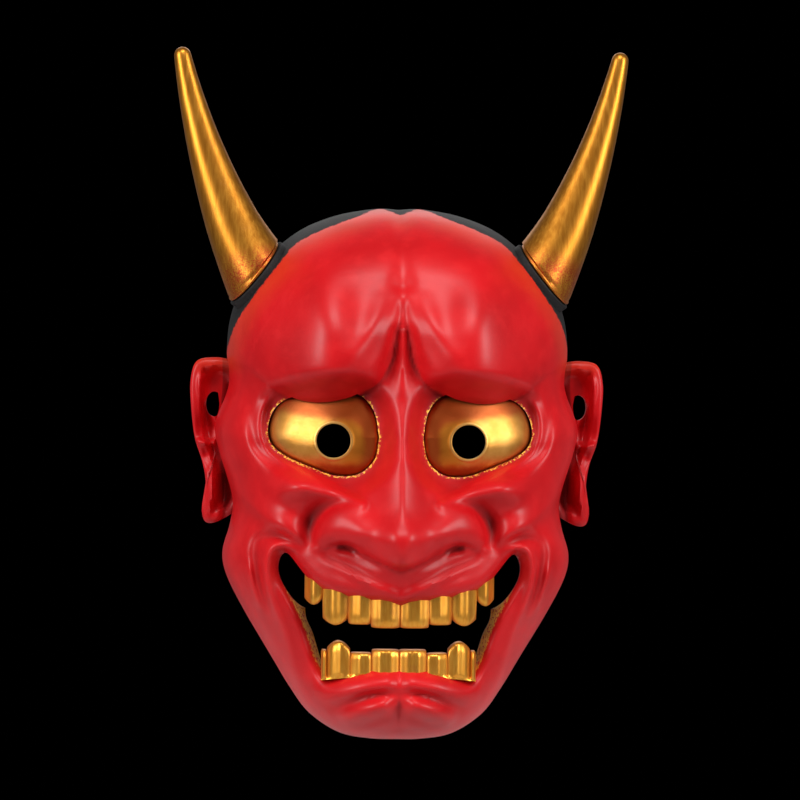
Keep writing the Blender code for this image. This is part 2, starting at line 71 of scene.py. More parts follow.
# The face's own layout size: the outlines and strokes below are laid out for it and stretch with
# the frame. RELIEF_FADE is the height, as a share of the dome's, under which the relief fades out.
LAYOUT = (163.1, 94.7, 208.25)
SCALE = tuple((SHELL_HIGH - SHELL_LOW) / LAYOUT)
MIDDLE_Z = -20.0
DEPTH = 70.0
RIM_BAND = 2.0
WALL = 4.0
RELIEF_FADE = 0.45
SIDES = (("left", -1), ("right", 1))

RIM = [(0, 77.6), (6, 78), (14, 77.3), (25, 75), (37, 70.2), (47, 63), (56, 53.5), (63, 43),
       (66.3, 33), (67.3, 21), (66.4, 8), (71.4, -7), (70.6, -16), (65.4, -33), (64.4, -40),
       (65.6, -48), (68.2, -58), (66.6, -67), (60, -80), (50, -96.5), (41, -111), (33.5, -120.5),
       (22, -127.8), (10, -130), (0, -130.2)]
BROW = [(-0.5, 84), (0, 62), (0.8, 44), (1.3, 35), (2.3, 25), (4.4, 16.5), (9.2, 8.9), (17.2, 3.4),
        (25.8, 1.0), (33, 0.4), (40, 1.4), (46.5, 4.4), (53, 9.5), (60, 13.8), (68, 16), (80, 18)]
EYE = [(8.4, -12), (10.2, -20.5), (16, -26), (24.5, -26.8), (34, -23.8), (44, -19.6), (49.8, -14.5),
       (50.8, -8), (48, -1), (42, 3), (30, 5), (17, 4.5), (10.5, -2)]
MOUTH = [(0, -76.2), (6.2, -74.7), (13, -73), (19.6, -72), (25.5, -70.3), (30.3, -68.2), (33.6, -65.6),
         (37.1, -61.5), (42.4, -55.4), (45.8, -55.8), (47.4, -61), (46.8, -66.5), (44, -72.5),
         (40.4, -79), (37.2, -86), (35, -92.5), (32.8, -98.5), (30, -103.8), (27.4, -105.8),
         (24, -105.2), (19.7, -103.2), (13, -101.2), (6.6, -99.9), (0, -99.5)]
NOSE_BASE = [(-9, -58.6), (0, -61.7), (9, -58.6), (17, -55), (23, -53), (28, -54), (31.5, -56.5), (36, -62)]


# ---- carving ----

def eased(t):
    """0 below 0, 1 above 1, and a smooth step between."""
    t = np.clip(t, 0, 1)
    return t * t * (3 - 2 * t)


def rounded(t):
    """0 below 0, then a quarter circle up to 1."""
    return np.sqrt(1 - (1 - np.clip(t, 0, 1)) ** 2)


def flowing(points, steps=6):
    """Points along a smooth curve through the given ones, every column carried along."""
    points = np.asarray(points, float)
    slope = np.gradient(points, axis=0)
    t = np.linspace(0, 1, steps, endpoint=False)[:, None]
    pieces = []
    for a, b, into, out in zip(points[:-1], points[1:], slope[:-1], slope[1:]):
        bend = a * (1 + 2 * t) * (1 - t) ** 2 + b * t * t * (3 - 2 * t)
        pieces.append(bend + into * t * (1 - t) ** 2 - out * t * t * (1 - t))
    return np.vstack(pieces + [points[-1:]])


def nearest(line, x, z):
    """Distance from each place to a line, positive on its left, and the other columns there."""
    best = np.full(x.shape, 1e9)
    side = np.ones(x.shape)
    carried = np.zeros(x.shape + (line.shape[1] - 2,))
    for a, b in zip(line[:-1], line[1:]):
        run, rise = b[:2] - a[:2]
        t = np.clip(((x - a[0]) * run + (z - a[1]) * rise) / (run * run + rise * rise), 0, 1)
        off_x, off_z = x - a[0] - t * run, z - a[1] - t * rise
        away = np.hypot(off_x, off_z)
        closer = away < best
        best = np.where(closer, away, best)
        side = np.where(closer, np.where(run * off_z >= rise * off_x, 1, -1), side)
        carried = np.where(closer[..., None], a[2:] + t[..., None] * (b[2:] - a[2:]), carried)
    return best * side, carried


def near_box(line, x, z, margin):
    """The places within a margin of a line's box."""
    low, high = line[:, :2].min(axis=0) - margin, line[:, :2].max(axis=0) + margin
    return (x > low[0]) & (x < high[0]) & (z > low[1]) & (z < high[1])


def depth_inside(outline, x, z, margin=16):
    """Distance to a closed outline, positive inside it, and no less than minus the margin."""
    line = flowing(list(outline) + [outline[0]])
    depth = np.full(x.shape, -float(margin))
    close = near_box(line, x, z, margin)
    at_x, at_z = x[close], z[close]
    away, _ = nearest(line, at_x, at_z)
    within = np.zeros(at_x.shape, bool)
    for (x0, z0), (x1, z1) in zip(line[:-1], line[1:]):
        if z0 != z1:
            within ^= ((z0 > at_z) != (z1 > at_z)) & (at_x < (x1 - x0) * (at_z - z0) / (z1 - z0) + x0)
    depth[close] = np.maximum(np.where(within, np.abs(away), -np.abs(away)), -margin)
    return depth


def both_halves(half):
    """A closed outline from its half with x from 0, out and back to 0."""
    return list(half) + [(-x, z) for x, z in reversed(half[1:-1])]


def mound(x, z, at, reach, lift, power=2.0):
    """A soft rise, or a hollow where lift is negative."""
    away = np.hypot((x - at[0]) / reach[0], (z - at[1]) / reach[1])
    return lift * np.exp(-away ** power)


def stroke(x, z, points, taper=0.3, lee=(1, 1)):
    """A ridge, or a groove where its height is negative. Points are (x, z, half width, height).

    lee widens the left and the right flank, as seen along the line.
    """
    line = flowing(points)
    share = np.linspace(0, 1, len(line))
    if taper:
        line[:, 3] *= eased(share / taper) * eased((1 - share) / taper)
    rise = np.zeros(x.shape)
    close = near_box(line, x, z, 3 * line[:, 2].max() * max(lee))
    away, carried = nearest(line, x[close], z[close])
    width = carried[..., 0] * np.where(away > 0, lee[0], lee[1])
    rise[close] = carried[..., 1] * np.exp(-(away / width) ** 2)
    return rise


def strokes(x, z, rise, lines):
    """A rise with strokes added, each given as its points, its taper and, if need be, its lee."""
    for line in lines:
        rise = rise + stroke(x, z, *line)
    return rise


def reach_of(outline, centre):
    """The distance from the centre to a closed outline, as a function of direction."""
    line = flowing(list(outline) + [outline[0]], 12)[:-1] - np.asarray(centre)
    angle = np.arctan2(line[:, 0], line[:, 1])
    order = np.argsort(angle)
    around, out = angle[order], np.hypot(line[order, 0], line[order, 1])
    return lambda turn: np.interp(turn, around, out, period=2 * math.pi)


RIM_REACH = reach_of(both_halves(RIM), (0, MIDDLE_Z))


def squareness(turn):
    """How boxy the section is in each direction: rounder at the crown, boxy at the chin."""
    knots = np.array([-0.8, 0, 0.8, 1.6, 2.4, 3.1416, 4])
    curve = flowing(np.column_stack([knots, [2.6, 2.6, 2.5, 2.7, 3.3, 4.4, 3.3]]))
    return np.interp(np.abs(turn), curve[:, 0], curve[:, 1])


def masses(x, z):
    """The large masses, which the hollow inside follows too."""
    rise = mound(x, z, (0, 48), (52, 26), 7)
    rise += mound(x, z, (41, -33), (15, 11), 5)
    rise += mound(x, z, (0, -68), (36, 14), 9)
    rise += mound(x, z, (0, -114), (30, 13), 12, 2.4)
    rise += mound(x, z, (50, -66), (12, 22), 3) - mound(x, z, (33, -42), (8, 8), 2.5)
    return rise - 7 * eased((depth_inside(EYE, x, z) + 9) / 9)


def nose(x, z):
    """The bridge, tip and wings, which end in an edge over the lip."""
    bridge = stroke(x, z, [(0, 12, 7, 1), (0, 4, 8, 3), (0, -10, 9, 7.5), (0, -24, 10, 12),
                           (0, -38, 12.5, 17), (0, -48, 14, 20.5), (0, -54, 14, 20), (0, -66, 14, 18)], 0)
    wing = mound(x, z, (21.5, -46.5), (11.5, 10.5), 10.5, 3)
    tip = mound(x, z, (4.5, -49), (4.6, 5), 1.6) + mound(x, z, (0, -49), (9, 7), 1.5)
    crest = stroke(x, z, [(0, -6, 1.8, 0.1), (0, -14, 1.7, 0.4), (0, -30, 1.6, 0.6), (0, -40, 1.5, 0.7),
                          (0, -47, 1.6, 0.2)], 0.2)
    away, _ = nearest(flowing(NOSE_BASE), x, z)
    under = np.where(away > 0, rounded(away / 9), 0)
    low = 0.30 * eased((z + 75) / 16)
    return (bridge + wing + tip) * (low + (1 - low) * under) + crest


def nose_lines(x, z):
    """The groove round each wing and the nostril slits."""
    rise = strokes(x, z, 0, [
        ([(13, -37.8, 1.4, -0.8), (20, -36.6, 1.6, -2), (27.5, -38, 1.9, -3.8), (33, -43.4, 2.2, -5.4),
          (34.6, -50.5, 2.1, -5), (32.4, -56.5, 1.7, -2.2)], 0.2, (1.7, 1)),
        ([(15.5, -55.6, 1.1, -1), (20, -54, 1.3, -3.6), (24.5, -53.8, 1.1, -2.4)], 0.2),
        ([(0, -62.2, 1, 0.9), (5, -60.8, 1, 0.9), (11, -58, 1, 0.5)], 0),
        ([(17, -57.8, 1, 0.2), (21, -56.6, 1, 0.3), (25, -57.2, 1, 0.2)], 0.3)])
    return rise + stroke(x, z, [(29, -57, 0.9, 0.5), (32.5, -54.4, 0.9, 1.2), (35, -55, 0.9, 0.4)], 0.2)


def forehead(x, z):
    """The crown's swell and centre line, and the thin ridge between the brows."""
    rise = mound(x, z, (11, 57), (19, 12), 0.8)
    rise = strokes(x, z, rise, [
        ([(0, 82, 2.5, -2), (0, 72, 2.5, -1.6), (0, 62, 3, -0.8), (0, 52, 4, -1.4), (0, 42, 4, -2.6)], 0.1),
        ([(0, 39, 1.3, 0.2), (0, 32, 1.2, 2.2), (0, 25, 1.3, 4.2), (0, 17, 1.7, 3.4), (0, 8, 3, 1.6),
          (0, 0, 3.5, 0.4)], 0.15),
        ([(2.4, 34, 1.2, -0.5), (3.6, 27, 1.5, -2.4), (5.8, 18, 1.9, -2.6), (10, 9, 2.2, -1.6)], 0.3)])
    return rise + mound(x, z, (6, 14), (8, 12), -1.2)


def brows(x, z):
    """The two heavy brows, which end in a rolled edge over the eyes."""
    over, _ = nearest(flowing(BROW), x, z)
    lift = (4.4 + 5.8 * np.exp(-((x - 29) / 19) ** 2)) * eased((76 - x) / 22)
    body = mound(x, z, (29, 23), (15, 17), 4.6) + mound(x, z, (22, 13), (14, 8), 1)
    body += mound(x, z, (18, 36), (6.5, 11), -1.3)
    body += stroke(x, z, [(8, 47, 3.6, 0.2), (8.8, 39, 3.6, 0.9), (11.5, 30, 3.6, 1.8), (17, 20.5, 4.2, 1.6),
                          (25, 15, 5, 0.4)], 0.2)
    edge = rounded(over / (4.0 + 8.5 * eased((x - 4) / 18)))
    edge += (eased(over / 34) - edge) * eased((z - 26) / 22)
    return (lift * edge + body * eased(over / 6)) * (over > 0) * eased((84 - z) / 52)


def eyelids(x, z):
    """The rims round the eyes and the fold below each."""
    return strokes(x, z, 0, [
        ([(46, 5.5, 1.5, 0.6), (52.2, 0, 1.5, 1.6), (54, -8, 1.5, 1.9), (52, -16.5, 1.4, 1.6),
          (45, -22, 1.3, 1.3), (35, -26.3, 1.2, 1.1), (25, -29.3, 1.2, 0.9), (14.5, -28, 1.2, 0.7)], 0.15),
        ([(57, 7, 2, -0.5), (58, -2, 2, -1.4), (56.5, -14, 2.2, -1.4), (50, -23, 2.2, -0.8)], 0.3),
        ([(46, -21.5, 1.6, 0.6), (39.5, -25.4, 1.8, 2.4), (33, -28.8, 2, 3.6), (27, -31.8, 2, 4),
          (19.5, -35.2, 1.6, 3.8), (14.5, -37.2, 1.3, 2.6), (12, -38.6, 1.1, 0.8)], 0.2, (2.2, 1.2))])


def cheeks(x, z):
    """The cheek bones and the folds that run round the corners of the mouth."""
    rise = mound(x, z, (41, -31.5), (9.5, 5.4), 6) + mound(x, z, (57, -12), (8, 20), 2.5)
    rise = strokes(x, z, rise, [
        ([(68, -27, 3, 1.5), (60.7, -34, 3, 3), (52.4, -41.2, 3, 4.4), (43, -47.4, 2.6, 4.4),
          (36, -52, 2.2, 3.4), (32, -56, 2, 1.2)], 0.25, (1, 2.2)),
        ([(37, -53.5, 1.8, -0.5), (43, -50.8, 2.2, -1.4), (49, -49.4, 2.4, -2), (54, -51.6, 2.4, -2.4),
          (55.4, -57, 2, -2.4), (54.4, -65, 1.7, -2), (52.2, -73, 1.6, -1.4),
          (49, -81, 1.5, -0.5)], 0.1),
        ([(37, -57.5, 2.2, 0.6), (43, -53.8, 2.2, 2.6), (48.3, -53.8, 2.2, 3.8), (50.8, -59, 2, 4.2),
          (50.6, -67, 1.9, 4), (48.4, -75, 2, 3.6), (44.6, -84, 2.4, 3), (41.6, -94, 3, 2.6),
          (39.6, -103, 3.4, 1.8), (35, -110, 3.4, 0.8)], 0.1),
        ([(57.4, -57, 1.3, 0.8), (57.2, -65, 1.5, 2.4), (55.2, -73, 1.6, 2.2),
          (51.4, -82, 1.8, 0.9)], 0.3)])
    return rise + mound(x, z, (62, -58), (6, 12), 2)


def lips(x, z):
    """The edges of the lips, the line above the upper lip, and the walls of the mouth."""
    rise = strokes(x, z, 0, [
        ([(0, -72.6, 1.5, 2.2), (6, -69.6, 1.8, 2.4), (14, -66, 2, 2), (22, -62, 1.8, 1.6),
          (29, -58.6, 1.5, 1), (34, -56, 1.2, 0.3)], 0, (0.9, 2)),
        ([(3, -69, 1.2, -0.9), (10, -65.8, 1.5, -1.6), (18, -61.8, 1.5, -1.6), (26, -58.6, 1.3, -1),
          (31, -57, 1.1, -0.4)], 0.2),
        ([(6, -71.4, 1.1, -0.4), (14, -68.2, 1.2, -1.4), (22, -64.6, 1.2, -1.2),
          (29, -61, 1, -0.5)], 0.3)])
    rise -= mound(x, z, (0, -67), (4, 3.4), 1.2)
    rise += stroke(x, z, [(0, -104, 4, 3.6), (12, -106, 4, 3.4), (24, -110, 4, 2.6), (33, -110, 4, 1.4)], 0.1)
    depth = depth_inside(both_halves(MOUTH), x, z, 8)
    rise -= 2.2 * (1 - rounded(-depth / 3.2)) * (depth <= 0)
    return rise - (2.2 + 12 * eased(depth / 5)) * (depth > 0)


def chin(x, z):
    """The two lobes of the chin and the cleft between them."""
    rise = strokes(x, z, 0, [
        ([(2.8, -113, 2.2, 2.2), (8, -114.4, 2.8, 4.2), (15, -117.2, 3.2, 4.4),
          (23, -121.5, 3.4, 2)], 0.12, (1, 1.4)),
        ([(3, -119, 1.8, 0.4), (6.5, -122, 2, 1), (12.5, -124.8, 2, 1.2), (19, -126, 2, 0.6)], 0.2),
        ([(0, -107, 1.6, -0.6), (0, -111, 1.5, -2), (0, -117, 1.6, -3), (0, -122, 1.8, -2.2),
          (0, -127, 2.4, -0.6)], 0.15),
        ([(0, -108.6, 1.6, -1.8), (9, -109.6, 1.7, -3), (18, -112.4, 2, -2.8),
          (27, -117.5, 2.4, -1.2)], 0.1)])
    return rise - stroke(x, z, [(4, -118, 1.2, 0.3), (9, -120, 1.4, 0.6), (16, -122.4, 1.4, 0.4)], 0.3)


def behind_mouth(x, z):
    """The hollow's own step back round the mouth, so that the mouth's walls keep their thickness."""
    return -13 * eased((depth_inside(both_halves(MOUTH), x, z, 8) + 3) / 6)


INSIDE = (masses, behind_mouth)
OUTSIDE = (masses, nose, nose_lines, forehead, brows, eyelids, cheeks, lips, chin)
UNDER_BROW = (masses, nose, eyelids)


def relief_at(x, z, parts):
    """The sum of the named reliefs at places of the layout, the same on both sides."""
    softened = np.sqrt(x * x + 0.2)
    return sum(part(softened, z) for part in parts)


# ---- building ----

EYE_CENTRE = (29.0, -12.0)
EYE_FLANGE = 2.4
PUPIL_AT = (25.8, -13.4)
PUPIL = 13.0
MOUTH_HOLE = [(0, -77.6), (6.2, -76.1), (13, -74.4), (19.6, -73.4), (25.8, -71.8), (31, -70), (35.4, -75.5),
              (35.4, -81.5), (32.8, -87.5), (30.8, -94), (29.2, -99), (27.2, -102.4), (25, -103.2),
              (22, -102.2), (18, -100.9), (12, -99.3), (6, -98.3), (0, -98)]
MOUTH_MIDDLE_Z = -84
MOUTH_CORNER = [(30, -71.2), (34.8, -66.3), (38.3, -62), (42.6, -56.8), (45.0, -57.2), (46.3, -61.3),
                (45.6, -66), (42.6, -71.6), (38.8, -76), (34.8, -78), (31, -75)]
MOUTH_CORNER_AT = (39, -70)
EAR = [(58, 17), (65, 17.7), (72, 18.5), (79, 17), (81.4, 10), (81.2, 0), (79.6, -13), (76.4, -23),
       (75, -32), (76.6, -40), (75, -46.4), (69, -45.6), (60, -38), (56, -20), (56, 0)]
EAR_AT = (69.0, -10.0)
EAR_BACK = 3.0
STRAP_HOLE_AT = (72.7, 0.0)
STRAP_HOLE = [(70.6, 4.6), (72.6, 5), (74.6, 3.4), (75.3, 0), (74.4, -3.4), (72.4, -4.8), (70.8, -4.2),
              (70, 0)]
HAIRLINE = [(0, 74.5), (4, 76.2), (8.5, 77.6), (17.5, 73.4), (26, 70), (35, 66), (41.5, 61.8), (47, 55),
            (53, 47.2), (58.6, 39.4), (63.4, 32), (67, 22), (68, 12)]

# Each tooth: where it starts and ends across the bar, its biting edge's height and its point's length.
UPPER_TEETH = [(0, 11, -84.2, 0.4), (11, 19.6, -83.0, 0.6), (19.6, 29.4, -83.4, 2.6), (29.4, 36.2, -76, 2.4)]
LOWER_TEETH = [(0, 10.4, -92.7, 0.4), (10.4, 18.6, -94.0, 0.5), (18.6, 27.4, -89.8, 3.0),
               (27.4, 29.6, -93.4, 1)]

# Each tooth bar: its teeth, how far forward it reaches, its root's height and the root's sweep.
TOOTH_BARS = (("upper_teeth", UPPER_TEETH, 75, -70, 10), ("lower_teeth", LOWER_TEETH, 69, -102.8, -3.2))
ARCH_WIDTH = 36
ARCH_DEPTH = 12
BAR_THICK = 6


def surface_forward(x, z, parts=OUTSIDE, inset=0.0):
    """How far forward of the rim plane a surface of the face is."""
    at_x, at_z = x / SCALE[0], z / SCALE[2]
    turn = np.arctan2(at_x, at_z - MIDDLE_Z)
    power = squareness(turn)
    out = np.hypot(at_x, at_z - MIDDLE_Z) / (RIM_REACH(turn) - inset)
    up = np.maximum(1 - np.minimum(out, 1) ** power, 0) ** (1 / power)
    relief = relief_at(at_x, at_z, parts) * eased(up / RELIEF_FADE)
    return ((DEPTH - RIM_BAND) * up + RIM_BAND + relief) * SCALE[1] - inset


def rounded_square(u, v):
    """Moves the corners of a square grid to a round one: its radius, to 1, and direction."""
    across, upward = u * np.sqrt(1 - v * v / 2), v * np.sqrt(1 - u * u / 2)
    return np.hypot(across, upward), np.arctan2(across, upward)


def linked(name, data):
    """A new object in the scene, for a mesh, a lamp or a camera."""
    obj = bpy.data.objects.new(name, data)
    bpy.context.scene.collection.objects.link(obj)
    return obj


def mesh_from(name, bm):
    """A mesh from a bmesh, which is used up."""
    mesh = bpy.data.meshes.new(name)
    bm.to_mesh(mesh)
    bm.free()
    return mesh


def new_piece(name, bm):
    """An object from a bmesh in millimetres, with its faces pointing out."""
    bmesh.ops.recalc_face_normals(bm, faces=bm.faces)
    if bm.calc_volume(signed=True) < 0:
        bmesh.ops.reverse_faces(bm, faces=bm.faces)
    bmesh.ops.scale(bm, vec=Vector((MM, MM, MM)), verts=bm.verts)
    return linked(name, mesh_from(name, bm))


def clay(name, across, upward, place, rubbed=0):
    """A closed block, a grid extruded once. place(u, v, front) gives its corners' x, y and z.

    rubbed is how often the front's depths are evened out with their neighbours'.
    """
    bm = bmesh.new()
    bmesh.ops.create_grid(bm, x_segments=across, y_segments=upward, size=1)
    made = bmesh.ops.extrude_face_region(bm, geom=bm.faces[:], use_keep_orig=True)["geom"]
    front = [item for item in made if isinstance(item, bmesh.types.BMVert)]
    for vert in front:
        vert.co.z = 1
    within = [vert for vert in front if max(abs(vert.co.x), abs(vert.co.y)) < 0.999]
    corners = np.array([vert.co for vert in bm.verts])
    x, forward, z = place(corners[:, 0], corners[:, 1], corners[:, 2] > 0.5)
    for vert, co in zip(bm.verts, np.column_stack([x, -forward, z])):
        vert.co = co
    for _ in range(rubbed):
        bmesh.ops.smooth_vert(bm, verts=within, factor=0.5, use_axis_y=True)
    return new_piece(name, bm)


def dome(name, across, upward, parts, inset, back, rubbed=0):
    """The face as a solid, inset from the outside of the shell and reaching back to a plane.

    The swing runs from 0 at the middle to a quarter turn at the rim, a little denser near the rim.
    """

    def place(u, v, front):
        radius, turn = rounded_square(u, v)
        power = squareness(turn)
        swing = math.pi / 2 * np.minimum(0.75 * radius + 0.25 * radius ** 3, 1)
        low, high = np.sin(swing), np.maximum(np.cos(swing), 0)
        size = (low ** power + high ** power) ** (-1 / power)
        out = np.where(front, low * size, radius)
        up = high * size
        reach = RIM_REACH(turn) * out
        x, z = reach * np.sin(turn), MIDDLE_Z + reach * np.cos(turn)
        forward = np.full(x.shape, back)
        lift = relief_at(x[front], z[front], parts) * eased(up[front] / RELIEF_FADE)
        forward[front] = ((DEPTH - RIM_BAND) * up[front] + RIM_BAND + lift) * SCALE[1] - inset * up[front]
        x = x * SCALE[0] - inset * out * np.sin(turn)
        z = z * SCALE[2] - inset * out * np.cos(turn)
        return x, forward, z

    return clay(name, across, upward, place, rubbed)


def plate(name, outline, centre, front, back, segments, grow=0.0, rubbed=0):
    """A plate with a star-shaped outline; front and back give how far forward its faces are.

    grow moves the outline out by a distance.
    """
    reach = reach_of(outline, centre)

    def place(u, v, is_front):
        radius, turn = rounded_square(u, v)
        out = radius * reach(turn) + grow * radius ** 4
        x, z = centre[0] + out * np.sin(turn), centre[1] + out * np.cos(turn)
        forward = np.empty(x.shape)
        forward[is_front] = front(x[is_front], z[is_front])
        forward[~is_front] = back(x[~is_front], z[~is_front])
        return x, forward, z

    return clay(name, segments, segments, place, rubbed)


def flat(forward):
    """A flat face of a plate, so far forward."""
    return lambda x, z: np.full(x.shape, float(forward))


def at_size(points, side=1):
    """An outline of the layout at the face's real size."""
    return [(side * x * SCALE[0], z * SCALE[2]) for x, z in points]


def grown(outline, centre, by):
    """An outline moved out from its centre by a distance."""
    moved = []
    for x, z in outline:
        out = 1 + by / math.hypot(x - centre[0], z - centre[1])
        moved.append((centre[0] + (x - centre[0]) * out, centre[1] + (z - centre[1]) * out))
    return moved


def carve(target, cuts):
    """Joins pieces on and cuts them away in order, then fixes the result in the target's mesh."""
    for operation, other in cuts:
        modifier = target.modifiers.new(other.name, "BOOLEAN")
        modifier.object = other
        modifier.operation = operation
        modifier.solver = "MANIFOLD"
    graph = bpy.context.evaluated_depsgraph_get()
    mesh = bpy.data.meshes.new_from_object(target.evaluated_get(graph))
    target.modifiers.clear()
    target.data = mesh
    for _, other in cuts:
        bpy.data.objects.remove(other)


def shade(obj, sharp_degrees):
    """Shades a piece smooth, but for its sharp edges."""
    mesh = obj.data
    mesh.polygons.foreach_set("use_smooth", [True] * len(mesh.polygons))
    mesh.set_sharp_from_angle(angle=math.radians(sharp_degrees))
    return obj


def ease_edges(bm, edges, by):
    """Rounds edges over by a small distance."""
    if by:
        bmesh.ops.bevel(bm, geom=edges, offset=by, segments=3, profile=0.5, affect="EDGES", material=-1)


def drum(name, diameter, low, high, place, bevel=0.0):
    """A disc along the Z of a place, from low to high, its edges rounded."""
    bm = bmesh.new()
    radius = diameter / 2
    bmesh.ops.create_cone(bm, cap_ends=True, segments=96, radius1=radius, radius2=radius, depth=high - low)
    rims = [edge for edge in bm.edges if abs(edge.verts[0].co.z - edge.verts[1].co.z) < 1e-6]
    ease_edges(bm, rims, bevel)
    bmesh.ops.translate(bm, vec=(0, 0, (low + high) / 2), verts=bm.verts)
    bmesh.ops.transform(bm, matrix=place, verts=bm.verts)
    return new_piece(name, bm)


# ---- the horns ----

HORN_LENGTH = 93.0
HORN_BASE = 27.0
HORN_TIP = 6.6
HORN_LEAN = (27.0, 11.0)
HORN_LIP = 1.0
TENON = 10.0
TENON_LENGTH = 14.0
TENON_ROOT = 0.5
GAP = 0.3

# A horn's seat: degrees round the rim from the top, how far in from the rim, its Y and its slope.
SEAT_AROUND = 38.2
SEAT_SUNK = 1.0
SEAT_Y = -27.0
SEAT_LEAN = 52.0

# The rolled lip at a horn's foot: how far up each ring is and how much wider than the foot.
LIP_RINGS = ((GAP, 0.35), (0.45, 0.8), (0.8, HORN_LIP), (1.2, HORN_LIP), (1.6, 0.75), (1.8, 0.3))
HORN_STEPS = 72
# How much slimmer a horn is halfway up than a straight taper, and the way its gold is brushed.
HORN_WAIST = 1.2
HORN_GRAIN = 18.0


def seat_frame(side):
    """A horn's seat on the crown, its Z along the way that the horn pulls out."""
    label = next(label for label, way in SIDES if way == side)
    joint = next(j for j in frame["joints"] if j["name"] == "horn_%s_slide" % label)
    out = Vector(joint["axis"]).normalized()
    lean = math.radians(SEAT_LEAN)
    across = Vector((side * math.cos(lean), 0, -math.sin(lean)))
    around = math.radians(SEAT_AROUND)
    reach = float(RIM_REACH(around)) - SEAT_SUNK
    x, z = reach * math.sin(around), MIDDLE_Z + reach * math.cos(around)
    place = Vector((side * x * SCALE[0], SEAT_Y, z * SCALE[2]))
    turn = Matrix((across, out.cross(across), out)).transposed()
    return Matrix.Translation(place) @ turn.to_4x4()


def horn_rings(side):
    """Frames and radii along a horn: its rolled lip, its body and its rounded tip."""
    seat = seat_frame(side)
    place = seat.to_translation()
    normal = seat.to_3x3() @ Vector((0, 0, 1))
    rings = [(place + normal * up, normal, normal, HORN_BASE / 2 + wide) for up, wide in LIP_RINGS]
    step = (HORN_LENGTH - HORN_TIP / 2) / HORN_STEPS
    for i in range(HORN_STEPS + 1):
        share = i / HORN_STEPS
        lean = math.radians(HORN_LEAN[0] + (HORN_LEAN[1] - HORN_LEAN[0]) * share)
        along = Vector((side * math.sin(lean), 0, math.cos(lean)))
        facing = normal.lerp(along, min(1, share * 4)).normalized()
        spread = HORN_BASE + (HORN_TIP - HORN_BASE) * share - HORN_WAIST * math.sin(math.pi * share)
        if i > 1:
            rings.append((place.copy(), facing, along, spread / 2))
        place = place + along * step
    for angle in (20, 40, 58, 72, 83):
        swing = math.radians(angle)
        ahead = along * (HORN_TIP / 2 * math.sin(swing) - step)
        rings.append((place + ahead, facing, along, HORN_TIP / 2 * math.cos(swing)))
    return rings


def horn(side, name):
    """A horn drawn out ring by ring, its first rings square to the seat and the rest along it."""
    bm = bmesh.new()
    bmesh.ops.create_circle(bm, cap_ends=False, segments=72, radius=1)
    ring, frame_now = bm.edges[:], Matrix.Identity(4)
    for k, (place, facing, along, radius) in enumerate(horn_rings(side)):
        turn = facing.to_track_quat("Z", "Y").to_matrix().to_4x4()
        slant = 1 / max(facing.dot(along), 0.5)
        target = Matrix.Translation(place) @ turn @ Matrix.Diagonal((radius * slant, radius * slant, 1, 1))
        if k:
            made = bmesh.ops.extrude_edge_only(bm, edges=ring)["geom"]
            ring = [item for item in made if isinstance(item, bmesh.types.BMEdge)]
        verts = list({vert for edge in ring for vert in edge.verts})
        bmesh.ops.transform(bm, matrix=target @ frame_now.inverted(), verts=verts)
        frame_now = target
    bmesh.ops.holes_fill(bm, edges=bm.edges[:], sides=0)
    body = new_piece(name, bm)
    return shade(body, 60)


def shaft(name, side, wide, low, high, bevel=0.0):
    """A square block along the way that a horn pulls out, from low to high."""
    seat = seat_frame(side)
    bm = bmesh.new()
    bmesh.ops.create_cube(bm, size=1)
    bmesh.ops.scale(bm, vec=Vector((wide, wide, high - low)), verts=bm.verts)
    ease_edges(bm, bm.edges[:], bevel)
    bmesh.ops.rotate(bm, matrix=seat.to_3x3(), verts=bm.verts)
    bmesh.ops.translate(bm, vec=seat @ Vector((0, 0, (low + high) / 2)), verts=bm.verts)
    return new_piece(name, bm)


def tenon(side, name):
    """The square tenon under a horn, its edges eased by a file."""
    return shade(shaft(name, side, TENON, GAP - TENON_LENGTH, GAP + TENON_ROOT, 0.7), 30)


# ---- eyes, ears, teeth and pads ----

# How far an eye plate lies behind the face, how much its ball bulges and how thick it is.
EYE_BEHIND = 1.6
EYE_BULGE = 5.5
EYE_THICK = 2.2
EYE_GRID = 90


def eye_layout(side):
    """An eye's centre, its opening's outline and its flange's outline."""
    outline = at_size(EYE, side)
    centre = at_size([EYE_CENTRE], side)[0]
    return centre, outline, grown(outline, centre, EYE_FLANGE)


def eye_surface(side, ahead=0.0):
    """The front of an eye plate: behind the lids, bulging between them, rounder about the pupil."""
    centre, outline, _ = eye_layout(side)
    pupil = at_size([PUPIL_AT], side)[0]

    def forward(x, z):
        away, turn = np.hypot(x - centre[0], z - centre[1]), np.arctan2(x - centre[0], z - centre[1])
        within = np.minimum(1, reach_of(outline, centre)(turn) / np.maximum(away, 0.3))
        x, z = centre[0] + (x - centre[0]) * within, centre[1] + (z - centre[1]) * within
        bulge = EYE_BULGE * rounded((depth_inside(outline, x, z) - 0.3) / 13)
        ball = np.hypot(x - pupil[0], z - pupil[1])
        bulge += 1.2 * eased((14 - ball) / 8) + 0.3 * np.exp(-((ball - PUPIL / 2 - 0.6) / 0.5) ** 2)
        return surface_forward(x, z, UNDER_BROW) - EYE_BEHIND + bulge + ahead

    return forward


def eye(side, name):
    """A domed plate with a flange behind the lids and a round hole to see through."""
    centre, _, flange = eye_layout(side)
    body = plate(name, flange, centre, eye_surface(side), eye_surface(side, -EYE_THICK), EYE_GRID)
    pupil = at_size([PUPIL_AT], side)[0]
    facing = Matrix.Translation((pupil[0], -DEPTH, pupil[1])) @ Matrix.Rotation(math.pi / 2, 4, "X")
    carve(body, [("DIFFERENCE", drum(name + "_hole", PUPIL, -60, 30, facing))])
    return shade(body, 50)


